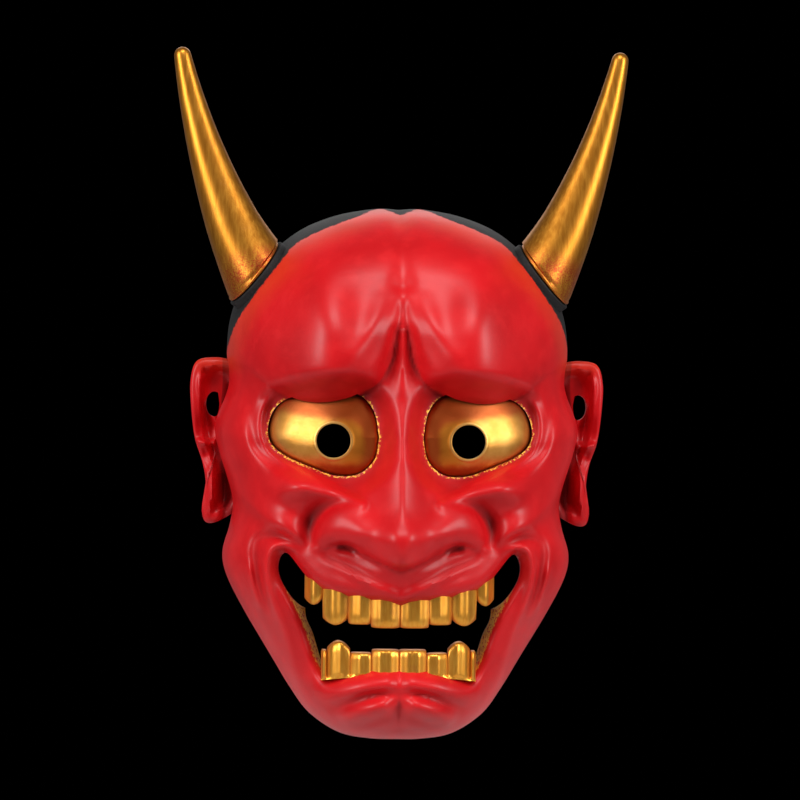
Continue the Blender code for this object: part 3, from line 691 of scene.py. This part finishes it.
def ear_front(x, z, side):
    """An ear's folds: its rolled rim, the hollows inside it, the cross fold and the long lobe."""
    border = depth_inside(at_size(EAR, side), x, z)
    x, z = side * x / SCALE[0], z / SCALE[2]
    front = 12.5 - 5.5 * eased((border - 3.2) / 2.4) * eased((x - 62) / 6)
    front = strokes(x, z, front, [
        ([(70, 16, 1.6, 2), (76, 11, 1.6, 3.5), (76.4, 4, 1.5, 3), (73, -3, 1.6, 3),
          (70, -10, 1.6, 2)], 0.2),
        ([(65.5, 12, 1.5, -2), (65.6, 4, 1.8, -4), (66.4, -4, 1.8, -4), (68, -9, 1.6, -2)], 0.2)])
    front += mound(x, z, (76, -9), (3.6, 6), -3.4)
    front += stroke(x, z, [(71, -15.5, 1.3, 2), (76, -15.2, 1.3, 2.4), (79, -14, 1.2, 1)], 0.1)
    front += mound(x, z, (74.6, -20), (3.2, 3), -2.4)
    front = strokes(x, z, front, [
        ([(73, -25, 2.6, 3.6), (72.2, -34, 2.6, 4), (71.5, -43, 2.6, 3)], 0.15),
        ([(67.8, -26, 1.4, -2.4), (67.4, -36, 1.5, -3), (67.6, -45, 1.4, -2)], 0.1)])
    return (front - 1.4 * (1 - rounded(border / 1.6))) * SCALE[1]


def ear(side, label):
    """An ear that stands out from the side of the shell."""
    centre = at_size([EAR_AT], side)[0]
    return plate("ear_" + label, at_size(EAR, side), centre, lambda x, z: ear_front(x, z, side),
                 flat(EAR_BACK), 56, rubbed=1)


def bar_front(x, lead):
    """How far forward a tooth bar reaches across the mouth: an arch in plan."""
    return (lead - ARCH_DEPTH * (x / SCALE[0] / ARCH_WIDTH) ** 2) * SCALE[1]


def tooth_bar(name, teeth, lead, root, sweep):
    """An arched gum bar with its row of teeth, each rounded, and the fangs drawn to points."""
    down = 1 if root > teeth[0][2] else -1
    ends = teeth[-1][1]

    def place(u, v, front):
        across = np.abs(u) * ends
        share = (v + 1) / 2
        bite = np.zeros(u.shape)
        swell = np.zeros(u.shape)
        for low, high, edge, point in teeth:
            here = (across >= low) & (across <= high)
            t = np.clip((across - low) / (high - low), 0, 1)
            side_fall = (2 * np.abs(t - 0.5)) ** (1.9 if point > 2 else 7)
            bite = np.where(here, edge + down * point * side_fall, bite)
            swell = np.where(here, np.sin(np.pi * t) ** 0.62, swell)
        z = (bite * (1 - share) + (root + sweep * (across / ARCH_WIDTH) ** 2) * share) * SCALE[2]
        gum = eased((share - 0.86) / 0.12)
        proud = (2.2 * swell + 0.12 * np.cos(across * 1.7)) * (1 - gum) + 1.6 * gum
        proud = proud - 1.5 * (1 - rounded(share / 0.28))
        x = u * ends * SCALE[0]
        return x, bar_front(x, lead) + np.where(front, proud, -BAR_THICK), z

    body = clay(name, 300, 36, place, 1)
    return shade(body, 50)


FOREHEAD_PAD = both_halves([(0, 62), (18, 60), (27, 54), (27, 46), (16, 42), (0, 41)])
CHEEK_PAD = [(48, -28), (54, -32), (56, -42), (52, -50), (45, -50), (43, -40), (44, -31)]
PADS = (("forehead_pad", FOREHEAD_PAD, (0, 51), 1), ("cheek_pad_left", CHEEK_PAD, (49.5, -39), -1),
        ("cheek_pad_right", CHEEK_PAD, (49.5, -39), 1))

# A pad's gap to the shell, its thickness at the edge and the swell and rounding over its face.
PAD_GAP = 1.1
PAD_EDGE = 2.4
PAD_SWELL = 3.6
PAD_ROUND = 4


def pad(name, outline, centre):
    """A felt pad that lies on the hollow of the shell, its edges rounded over."""

    def back(x, z):
        return surface_forward(x, z, INSIDE, WALL) - PAD_GAP

    def face(x, z):
        return back(x, z) - PAD_EDGE - PAD_SWELL * rounded(depth_inside(outline, x, z) / PAD_ROUND)

    body = plate(name, outline, centre, back, face, 44)
    return shade(body, 60)


# ---- finishes ----

def joined(operation, swapped=False):
    """A method that joins a value and another, or a number, by one step of arithmetic."""

    def method(self, other):
        a, b = (other, self) if swapped else (self, other)
        return self.paint.math(operation, a, b)

    return method


class Value:
    """One output of a shader node, which takes part in ordinary arithmetic."""

    def __init__(self, paint, socket):
        self.paint = paint
        self.socket = socket

    __add__ = __radd__ = joined("ADD")
    __sub__ = joined("SUBTRACT")
    __rsub__ = joined("SUBTRACT", True)
    __mul__ = __rmul__ = joined("MULTIPLY")
    __truediv__ = joined("DIVIDE")
    __rtruediv__ = joined("DIVIDE", True)


class Nodes:
    """A tree of shader nodes."""

    def __init__(self, tree):
        self.tree = tree

    def node(self, kind, settings, inlets, outlet=0):
        """Any node: its settings first, then its inlets, as values or as other nodes' outputs."""
        made = self.tree.nodes.new(kind)
        for key, value in settings.items():
            setattr(made, key, value)
        for key, value in inlets.items():
            self.plug(made.inputs[key], value)
        return Value(self, made.outputs[outlet])

    def plug(self, inlet, value):
        """Links a value to an inlet, or sets the inlet to a plain number, tuple or list."""
        if isinstance(value, Value):
            self.tree.links.new(value.socket, inlet)
        else:
            inlet.default_value = value


class Paint(Nodes):
    """A Principled material that is built up from named layers."""

    def __init__(self, name, settings):
        self.material = bpy.data.materials.new(name)
        self.material.use_nodes = True
        super().__init__(self.material.node_tree)
        self.shader = self.tree.nodes["Principled BSDF"]
        for key, value in settings.items():
            self.shader.inputs[key].default_value = value
        self.coordinates = self.node("ShaderNodeTexCoord", {}, {}, "Object")

    def math(self, operation, a, b):
        """One step of arithmetic."""
        return self.node("ShaderNodeMath", {"operation": operation}, {0: a, 1: b})

    def vector(self, operation, a, b=(0, 0, 0), outlet="Vector"):
        """One step of arithmetic with vectors."""
        return self.node("ShaderNodeVectorMath", {"operation": operation}, {0: a, 1: b}, outlet)

    def place(self, scale=(1, 1, 1), centre=(0, 0, 0), turn=(0, 0, 0)):
        """Object coordinates in millimetres from a centre, stretched by a scale."""
        moved = self.vector("SUBTRACT", self.coordinates, [c * MM for c in centre])
        return self.node("ShaderNodeMapping", {"vector_type": "POINT"},
                         {"Vector": moved, "Rotation": turn, "Scale": [1000 * s for s in scale]})

    def noise(self, at, scale, detail=3.0, roughness=0.55):
        """Soft noise, scale being how many of its waves go in a millimetre."""
        return self.node("ShaderNodeTexNoise", {},
                         {"Vector": at, "Scale": scale, "Detail": detail, "Roughness": roughness})

    def attribute(self, name):
        """A number that is stored at the piece's corners."""
        return self.node("ShaderNodeAttribute", {"attribute_name": name}, {}, "Fac")

    def step(self, value, low, high):
        """0 at low, 1 at high and smooth between."""
        return self.node("ShaderNodeMapRange", {"interpolation_type": "SMOOTHSTEP"},
                         {"Value": value, "From Min": low, "From Max": high})

    def mix(self, share, a, b):
        """Colours a and b, mixed by a share."""
        a, b = [(*value, 1) if isinstance(value, tuple) else value for value in (a, b)]
        return self.node("ShaderNodeMix", {"data_type": "RGBA", "clamp_factor": True},
                         {0: share, 6: a, 7: b}, 2)

    def bump(self, height, distance):
        """A normal from a height of 0 to 1 and its size in millimetres."""
        return self.node("ShaderNodeBump", {}, {"Height": height, "Distance": distance * MM, "Strength": 1})

    def finish(self, colour, roughness, normal=None, metallic=0.0, coat=0.0):
        """Plugs the layers into the shader and returns the material."""
        layers = {"Base Color": colour, "Roughness": roughness, "Metallic": metallic, "Coat Weight": coat}
        if normal:
            layers["Normal"] = normal
        for key, value in layers.items():
            self.plug(self.shader.inputs[key], value)
        return self.material


def face_paint():
    """Red lacquer with a black band of hair, gold specks on the gums, painted shade in the creases, painted
    highlights on the ridges, and a dark hollow behind.
    """
    p = Paint("red_lacquer", {"IOR": 1.45, "Specular IOR Level": 0.26, "Coat Roughness": 0.30})
    at = p.place()
    hair, under, crease, gum = (p.attribute(name) for name in ("hairline", "under", "crease", "gum"))
    broad = p.noise(at, 0.035, 2)
    cloud = p.noise(at, 0.16, 4)
    grain = p.noise(at, 1.6, 4, 0.7)
    dust = p.noise(at, 4.2, 2, 0.6)
    red = p.mix(p.step(broad, 0.35, 0.65), (0.46, 0.0015, 0.004), (0.56, 0.003, 0.006))
    red = p.mix(p.step(cloud, 0.45, 0.75) * 0.30, red, (0.68, 0.012, 0.014))
    # Painted shade: the red darkens where the surface dips into a crease.
    red = p.mix(p.step(crease, -0.3, -2.6) * 0.8, red, (0.18, 0.001, 0.002))
    # Painted highlight: the red lightens along the ridges.
    red = p.mix(p.step(crease, 0.5, 2.5) * 0.25, red, (0.74, 0.018, 0.020))
    red = p.mix(p.step(dust, 0.54, 0.72) * 0.14, red, (0.80, 0.07, 0.07))
    near_hair = p.step(hair + p.noise(at, 0.25, 3) * 4, -7, 2)
    red = p.mix(near_hair * 0.35, red, (0.62, 0.06, 0.01))
    edge = p.step(hair + (p.noise(at, 0.5, 4) - 0.5) * 1.6, -0.25, 0.25)
    black = p.mix(p.step(grain, 0.4, 0.7), (0.010, 0.009, 0.009), (0.024, 0.023, 0.022))
    colour = p.mix(edge, red, black)
    speck = p.step(p.noise(at, 0.9, 3, 0.7) + gum * 0.24, 0.66, 0.72) * p.step(gum, 0.15, 0.6)
    colour = p.mix(speck, colour, (0.90, 0.46, 0.06))
    deep = p.step(under, 0.9, 2.6)
    inner = p.mix(p.step(cloud, 0.35, 0.7), (0.012, 0.010, 0.009), (0.045, 0.030, 0.022))
    colour = p.mix(deep, colour, inner)
    rough = 0.44 + p.step(crease, -0.2, -1.6) * 0.25 + 0.12 * (grain - 0.5) + 0.10 * (cloud - 0.5)
    rough = rough + edge * 0.2 + deep * 0.3
    height = grain * 0.6 + dust * 0.4
    brush = p.noise(p.place((0.12, 0.12, 0.9)), 0.8, 3)
    height = height + brush * 0.8
    return p.finish(colour, rough, p.bump(height, 0.05), speck * 0.5, 0.16 * (1 - deep) * (1 - edge))


def horn_gold(label, side):
    """Old gold leaf on a horn: brushed along its length and stained red at the foot."""
    p = Paint("horn_gold_" + label, {"IOR": 1.5})
    foot = seat_frame(side).to_translation()
    lean = math.radians(HORN_GRAIN)
    at = p.place(centre=foot)
    along = p.vector("DOT_PRODUCT", at, (side * math.sin(lean), 0, math.cos(lean)), "Value")
    lengthwise = p.place((0.9, 0.9, 0.06), foot, (0, -side * lean, 0))
    streak = p.noise(lengthwise, 0.9, 4, 0.6)
    fine = p.noise(lengthwise, 2.6, 3, 0.6)
    patch = p.noise(at, 0.11, 3)
    grain = p.noise(at, 1.8, 4, 0.65)
    gold = p.mix(p.step(streak, 0.3, 0.75), (0.46, 0.165, 0.013), (0.62, 0.26, 0.028))
    gold = p.mix(p.step(patch, 0.52, 0.75) * 0.4, gold, (0.42, 0.15, 0.014))
    worn = p.step(patch * 0.6 + grain * 0.5 + streak * 0.3, 0.80, 0.95)
    gold = p.mix(worn * 0.35, gold, (0.30, 0.10, 0.02))
    low = p.step(along, 13, 2)
    gold = p.mix(low * p.step(grain + patch * 0.4, 0.62, 0.80), gold, (0.42, 0.05, 0.012))
    rough = 0.38 + 0.12 * (streak - 0.5) + 0.12 * (grain - 0.5) + worn * 0.08
    height = streak * 0.5 + fine * 0.25 + grain * 0.25
    return p.finish(gold, rough, p.bump(height, 0.04), 0.9 - worn * 0.25 - low * 0.1)


def eye_gold(label, side):
    """Pale gold over the ball of the eye, with painted shade in red brown under the brow, at the inner corner
    and along the bottom.
    """
    p = Paint("eye_gold_" + label, {"IOR": 1.5})
    pupil = at_size([PUPIL_AT], side)[0]
    at = p.place((1, 0, 1), (pupil[0], 0, pupil[1]))
    whole = p.place()
    away = p.vector("LENGTH", at, outlet="Value")
    across = p.node("ShaderNodeSeparateXYZ", {}, {0: at}, "X") * float(side)
    up = p.node("ShaderNodeSeparateXYZ", {}, {0: at}, "Z")
    cloud = p.noise(whole, 0.14, 3)
    grain = p.noise(whole, 1.5, 4, 0.65)
    brush = p.noise(p.place((0.25, 0.25, 1)), 1.2, 3)
    pale = p.mix(p.step(cloud, 0.35, 0.7), (0.56, 0.25, 0.042), (0.66, 0.32, 0.07))
    # Painted reflection and shade: paler gold on the outer side of the ball, darker orange towards the nose.
    gold = p.mix(p.step(across + (cloud - 0.5) * 6, 3, -6), pale, (0.56, 0.19, 0.018))
    # Painted shade: red brown under the overhanging brow, at the inner corner and along the bottom of the
    # ball.
    painted_shade = p.step(up + (cloud - 0.5) * 5 - 0.15 * across, 4.5, 11)
    painted_shade = painted_shade + p.step(across + (cloud - 0.5) * 4, -8.5, -14)
    painted_shade = painted_shade + p.step(up + (cloud - 0.5) * 3, -7.5, -11.5)
    gold = p.mix(p.step(painted_shade, 0, 1.0) * 0.8, gold, (0.34, 0.035, 0.005))
    rim = p.attribute("edge")
    gold = p.mix(p.step(rim + (grain - 0.5) * 1.2, 2.0, 0.7) * 0.8, gold, (0.40, 0.04, 0.006))
    # Painted highlight: a bright ring on the raised rim round the pupil hole.
    ring = p.step(away, 7.7, 7.2) * p.step(away, 6.2, 6.5)
    gold = p.mix(ring * 0.35, gold, (0.85, 0.55, 0.18))
    # Painted shade: the edge and wall of the pupil hole turn near black.
    gold = p.mix(p.step(away, 6.6, 6.35), gold, (0.05, 0.02, 0.008))
    rough = 0.43 + 0.14 * (grain - 0.5) + 0.08 * (brush - 0.5) + p.step(painted_shade, 0, 1) * 0.06
    metallic = 0.9 - p.step(painted_shade, 0.2, 1.0) * 0.12
    return p.finish(gold, rough, p.bump(grain * 0.6 + brush * 0.5, 0.05), metallic)


def tooth_gold():
    """Bright gold teeth, with painted shade in darker orange in the gaps and along the gums."""
    p = Paint("tooth_gold", {"IOR": 1.5})
    at = p.place()
    upright = p.place((1, 1, 0.14))
    gap = p.attribute("gap")
    cloud = p.noise(at, 0.22, 3)
    streak = p.noise(upright, 1.3, 3)
    grain = p.noise(at, 2.2, 3, 0.65)
    gold = p.mix(p.step(streak, 0.3, 0.75), (0.74, 0.29, 0.026), (0.82, 0.39, 0.05))
    gold = p.mix(p.step(cloud, 0.5, 0.75) * 0.5, gold, (0.66, 0.24, 0.04))
    # Painted shade: darker orange where the gold sinks into the gaps between teeth and along the gum.
    gold = p.mix(p.step(gap + (grain - 0.5) * 0.2, 0.5, 1.0) * 0.85, gold, (0.56, 0.15, 0.014))
    rough = 0.30 + 0.10 * (grain - 0.5) + gap * 0.12
    return p.finish(gold, rough, p.bump(streak * 0.5 + grain * 0.25, 0.02), 0.8 - gap * 0.3)


def bare_resin():
    """The cast grey brown of a tenon that was never painted, rubbed by its socket."""
    p = Paint("bare_resin", {"IOR": 1.5})
    at = p.place()
    cloud = p.noise(at, 0.2, 4)
    grain = p.noise(at, 2.0, 4, 0.7)
    rubbed = p.noise(p.place((0.2, 1, 1)), 1.4, 3)
    colour = p.mix(p.step(cloud, 0.35, 0.7), (0.20, 0.15, 0.11), (0.33, 0.26, 0.20))
    colour = p.mix(p.step(rubbed, 0.58, 0.72) * 0.5, colour, (0.44, 0.37, 0.30))
    return p.finish(colour, 0.55 + 0.2 * (grain - 0.5), p.bump(grain, 0.08))


def felt():
    """Matted black felt, its fibres catching the light in grey wisps."""
    p = Paint("black_felt", {"Sheen Weight": 0.35, "Sheen Roughness": 0.5})
    at = p.place()
    cloud = p.noise(at, 0.2, 3)
    fibre = p.noise(p.place((1, 1, 0.35), (0, 0, 0), (0.5, 0.3, 0.7)), 3.2, 5, 0.75)
    cross = p.noise(p.place((0.35, 1, 1), (0, 0, 0), (0.2, 0.9, 0.1)), 3.0, 5, 0.75)
    nap = p.step(fibre * 0.5 + cross * 0.5, 0.42, 0.62)
    colour = p.mix(nap, (0.012, 0.012, 0.013), (0.075, 0.072, 0.070))
    colour = p.mix(p.step(cloud, 0.5, 0.8) * 0.4, colour, (0.09, 0.085, 0.08))
    return p.finish(colour, 0.88 + 0.12 * fibre, p.bump(fibre + cross, 0.35))


def floor_paint():
    """A matt pale grey studio floor."""
    p = Paint("pale_floor", {})
    cloud = p.noise(p.place(), 0.01, 3)
    colour = p.mix(cloud, (0.56, 0.56, 0.57), (0.62, 0.62, 0.63))
    return p.finish(colour, 0.8 + 0.1 * cloud)


# ---- marks that the finishes follow ----

def set_marks(obj, marks):
    """Stores a number for each corner of a piece under each name."""
    for name, values in marks.items():
        layer = obj.data.attributes.new(name, "FLOAT", "POINT")
        layer.data.foreach_set("value", np.asarray(values, np.float32))


def corners_of(obj):
    """x, z and how far forward each corner of a piece is, in millimetres."""
    co = np.empty(len(obj.data.vertices) * 3)
    obj.data.vertices.foreach_get("co", co)
    co = co.reshape(-1, 3) / MM
    return co[:, 0], co[:, 2], -co[:, 1]


def blurred(field, reach):
    """A grid evened out by a bell curve of that reach, in cells."""
    span = np.arange(-int(3 * reach), int(3 * reach) + 1)
    bell = np.exp(-(span / reach) ** 2)
    bell /= bell.sum()
    for _ in range(2):
        padded = np.pad(field, ((len(bell) // 2, len(bell) // 2), (0, 0)), "edge")
        field = sum(w * padded[i:i + len(field)] for i, w in enumerate(bell)).T
    return field


def sampled(grid, x, z):
    """The value of the creases' grid at places between its corners."""
    at_x, at_z = (x - GRID_LOW[0]) / CELL, (z - GRID_LOW[1]) / CELL
    i = np.clip(at_x.astype(int), 0, grid.shape[1] - 2)
    j = np.clip(at_z.astype(int), 0, grid.shape[0] - 2)
    s, t = np.clip(at_x - i, 0, 1), np.clip(at_z - j, 0, 1)
    lower = grid[j, i] * (1 - s) + grid[j, i + 1] * s
    upper = grid[j + 1, i] * (1 - s) + grid[j + 1, i + 1] * s
    return lower * (1 - t) + upper * t


# The grid that the creases are read from: its cell, its corners and the width that counts as broad.
CELL = 0.8
GRID_LOW = (-84.0, -134.0)
GRID_HIGH = (84.4, 82.4)
BROAD = 3.2

# The side of the face past which the ear's own folds begin, and where the shell starts to be deep.
EAR_START = 68.2
RIM_FORWARD = 9


def mark_face(obj):
    """The hairline, the creases that the painted shade and highlights follow, the gums and lids, and the
    inside of the shell.
    """
    x, z, forward = corners_of(obj)
    grid_x, grid_z = np.meshgrid(*(np.arange(a, b, CELL) for a, b in zip(GRID_LOW, GRID_HIGH)))
    height = surface_forward(grid_x, grid_z)
    crease = sampled(height - blurred(height, BROAD / CELL), x, z)
    outer = sampled(height, x, z)
    sides, up = np.abs(x) / SCALE[0], z / SCALE[2]
    hair, _ = nearest(flowing(HAIRLINE), sides, up)
    hair = np.minimum(hair, up - 19)
    depth = depth_inside(both_halves(MOUTH), sides, up, 9)
    gum = eased((depth - 0.6) / 1.0) * eased((sides - 26) / 3) * eased((-66 - z) / 8)
    brow, _ = nearest(flowing(BROW), sides, up)
    lid = eased((0.9 - np.abs(depth_inside(EYE, sides, up, 3) + 0.2)) / 0.5)
    lid = lid * (outer - forward < 3) * (brow < -0.8)
    before_ear = 1 - eased((sides - EAR_START) / 1.2)
    normals = np.empty(len(obj.data.vertices) * 3)
    obj.data.vertices.foreach_get("normal", normals)
    across, back, upward = normals.reshape(-1, 3).T
    level = z - MIDDLE_Z * SCALE[2]
    outward = (across * x + upward * level) / np.maximum(np.hypot(x, level), 1)
    at_rim = eased((back - 0.9 * outward - 0.15) / 0.3)
    inward = np.where(outer > RIM_FORWARD, eased((back - 0.05) / 0.25), at_rim)
    under = np.where(outer > RIM_FORWARD, outer - forward + 1, 4) * before_ear * inward
    facing = eased((-back - 0.12) / 0.25)
    set_marks(obj, {"hairline": hair, "crease": crease * before_ear * facing,
                    "gum": np.maximum(gum, 0.75 * lid), "under": under})


def mark_teeth(obj, lead):
    """How near each corner of a bar is to a gap between teeth, or to the gum, which the painted shade
    follows.
    """
    x, _, forward = corners_of(obj)
    proud = forward - bar_front(x, lead)
    set_marks(obj, {"gap": 1 - eased((proud + 0.2) / 2.0)})


# ---- the mask ----

# A socket's wall and how far down it goes, and the ring round a horn's foot.
SOCKET_WALL = 3.3
SOCKET_DEEP = 17
SEAT_RING = 2

# The room in front of an eye plate, the way in for it from behind, and how far the cutters reach.
EYE_GAP = 0.4
EYE_WAY_IN = 18
SOCKET_CUT = 30
CORNER_CUT = 100
MOUTH_CUT = 110
STRAP_CUT = (60, -10)


def openings(label, side):
    """The cutters for one side: the horn's socket, the eye, the mouth's corner and the strap hole."""
    centre, outline, flange = eye_layout(side)
    corner_at, strap_at = at_size([MOUTH_CORNER_AT, STRAP_HOLE_AT], side)
    return [shaft("socket_" + label, side, TENON + 2 * GAP, -TENON_LENGTH, SOCKET_CUT),
            plate("eye_opening_" + label, outline, centre,
                  lambda x, z: surface_forward(x, z, UNDER_BROW) + 3, flat(0), 60),
            plate("eye_seat_" + label, flange, centre,
                  eye_surface(side, EYE_GAP), eye_surface(side, -EYE_WAY_IN), 60, GAP),
            plate("mouth_corner_" + label, at_size(MOUTH_CORNER, side), corner_at,
                  flat(CORNER_CUT), flat(0), 30),
            plate("strap_hole_" + label, at_size(STRAP_HOLE, side), strap_at, *map(flat, STRAP_CUT), 20)]


def made_face():
    """The shell: carved outside, hollow inside, with its ears, seats, sockets and openings."""
    grid = ((250, 310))
    shell = dome("mask_face", *grid, OUTSIDE, 0.0, 0.0, rubbed=2)
    joins = [ear(side, label) for label, side in SIDES]
    joins += [drum("seat_" + label, HORN_BASE + 2 * SEAT_RING, -16, 0, seat_frame(side), 0.5)
              for label, side in SIDES]
    carve(shell, [("UNION", other) for other in joins])
    cuts = [("DIFFERENCE", dome("hollow", 64, 80, INSIDE, WALL, -RIM_BAND))]
    cuts += [("UNION", shaft("socket_wall_" + label, side, TENON + 2 * SOCKET_WALL, -SOCKET_DEEP, -1, 0.8))
             for label, side in SIDES]
    carve(shell, cuts)
    holes = [hole for label, side in SIDES for hole in openings(label, side)]
    holes.append(plate("mouth_opening", both_halves(at_size(MOUTH_HOLE)), (0, MOUTH_MIDDLE_Z * SCALE[2]),
                       flat(MOUTH_CUT), flat(0), 72))
    carve(shell, [("DIFFERENCE", hole) for hole in holes])
    mark_face(shell)
    return shade(shell, 50)


def settle(obj, body, material, node=None):
    """Gives a piece its finish and its body, and hides the node of the plain model that it stands for."""
    obj.data.materials.clear()
    obj.data.materials.append(material)
    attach(obj, body)
    if node:
        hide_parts(node)


def build_mask():
    """Every piece of the finished mask, with its finish and its body."""
    face = made_face()
    settle(face, "mask", face_paint(), "mask_shell")
    resin = bare_resin()
    for label, side in SIDES:
        body = label + "_horn"
        gold = horn_gold(label, side)
        settle(horn(side, "gold_horn_" + label), body, gold, "horn_" + label)
        settle(tenon(side, "horn_tenon_" + label), body, resin)
        ball = eye(side, "gold_eye_" + label)
        x, z, _ = corners_of(ball)
        set_marks(ball, {"edge": depth_inside(at_size(EYE, side), x, z)})
        settle(ball, "mask", eye_gold(label, side), "eye_" + label)
    gold = tooth_gold()
    for name, teeth, lead, root, sweep in TOOTH_BARS:
        bar = tooth_bar("gold_" + name, teeth, lead, root, sweep)
        mark_teeth(bar, lead)
        settle(bar, "mask", gold, name)
    cloth = felt()
    for name, outline, centre, side in PADS:
        cushion = pad("felt_" + name, at_size(outline, side), at_size([centre], side)[0])
        settle(cushion, "mask", cloth, name)


# ---- the studio ----

FLOOR_RADIUS = 0.42
FLOOR_DROP = 0.08
CAMERA_AIM = (0.0006, -0.03, 0.0024)
CAMERA_AWAY = 1.6
CAMERA_AZIMUTH = -2.0
CAMERA_ROLL = 0.6
VIEW_WIDTH = 0.3122
SENSOR = 36

# Each lamp: its name, place, width and height in metres, and watts.
LAMPS = (("side_light_left", (-1.1, -0.75, 0.40), (0.4, 0.8), 14),
         ("side_light_right", (1.1, -0.75, 0.40), (0.4, 0.8), 14),
         ("top_light", (0.0, -0.75, 1.1), (0.6, 0.4), 10),
         ("back_light", (0.0, 0.9, 0.6), (0.8, 0.5), 2))
LAMPS_FACE = (0, -0.04, 0)


def softbox(name, at, size, watts):
    """A large soft lamp that faces the mask."""
    data = bpy.data.lights.new(name, "AREA")
    data.shape = "RECTANGLE"
    data.size, data.size_y = size
    data.energy = watts
    lamp = linked(name, data)
    lamp.location = at
    lamp.rotation_euler = (Vector(LAMPS_FACE) - lamp.location).to_track_quat("-Z", "Y").to_euler()


def build_floor():
    """A round floor under the mask."""
    low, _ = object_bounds()
    bm = bmesh.new()
    bmesh.ops.create_circle(bm, cap_ends=True, segments=128, radius=FLOOR_RADIUS)
    floor = linked("floor", mesh_from("floor", bm))
    floor.location = (0, CAMERA_AIM[1], low.z - FLOOR_DROP)
    floor.data.materials.append(floor_paint())


def build_surround():
    """A faint light from all round, which the camera sees as black."""
    world = bpy.data.worlds.new("surround")
    bpy.context.scene.world = world
    world.use_nodes = True
    world.node_tree.nodes.clear()
    nodes = Nodes(world.node_tree)
    seen = nodes.node("ShaderNodeLightPath", {}, {}, "Is Camera Ray")
    pale = nodes.node("ShaderNodeBackground", {}, {"Color": (0.9, 0.93, 1.0, 1), "Strength": 0.12})
    dark = nodes.node("ShaderNodeBackground", {}, {"Color": (0, 0, 0, 1)})
    mixed = nodes.node("ShaderNodeMixShader", {}, {0: seen, 1: pale, 2: dark})
    nodes.plug(nodes.tree.nodes.new("ShaderNodeOutputWorld").inputs[0], mixed)


def build_camera():
    """The camera straight in front, a little to the left and turned by a hair."""
    data = bpy.data.cameras.new("camera")
    camera = linked("camera", data)
    bpy.context.scene.camera = camera
    azimuth = math.radians(CAMERA_AZIMUTH)
    back = Vector((math.sin(azimuth), -math.cos(azimuth), 0))
    camera.location = Vector(CAMERA_AIM) + back * CAMERA_AWAY
    roll = Matrix.Rotation(math.radians(CAMERA_ROLL), 3, "Z")
    camera.rotation_euler = ((-back).to_track_quat("-Z", "Y").to_matrix() @ roll).to_euler()
    data.sensor_width = SENSOR
    data.lens = SENSOR * CAMERA_AWAY / VIEW_WIDTH
    data.clip_start, data.clip_end = 0.05, 20


def build_studio():
    """Floor, lamps, a dark surround and the camera."""
    bpy.context.scene.view_settings.view_transform = "Standard"
    build_floor()
    for lamp in LAMPS:
        softbox(*lamp)
    build_surround()
    build_camera()


build_mask()
build_studio()
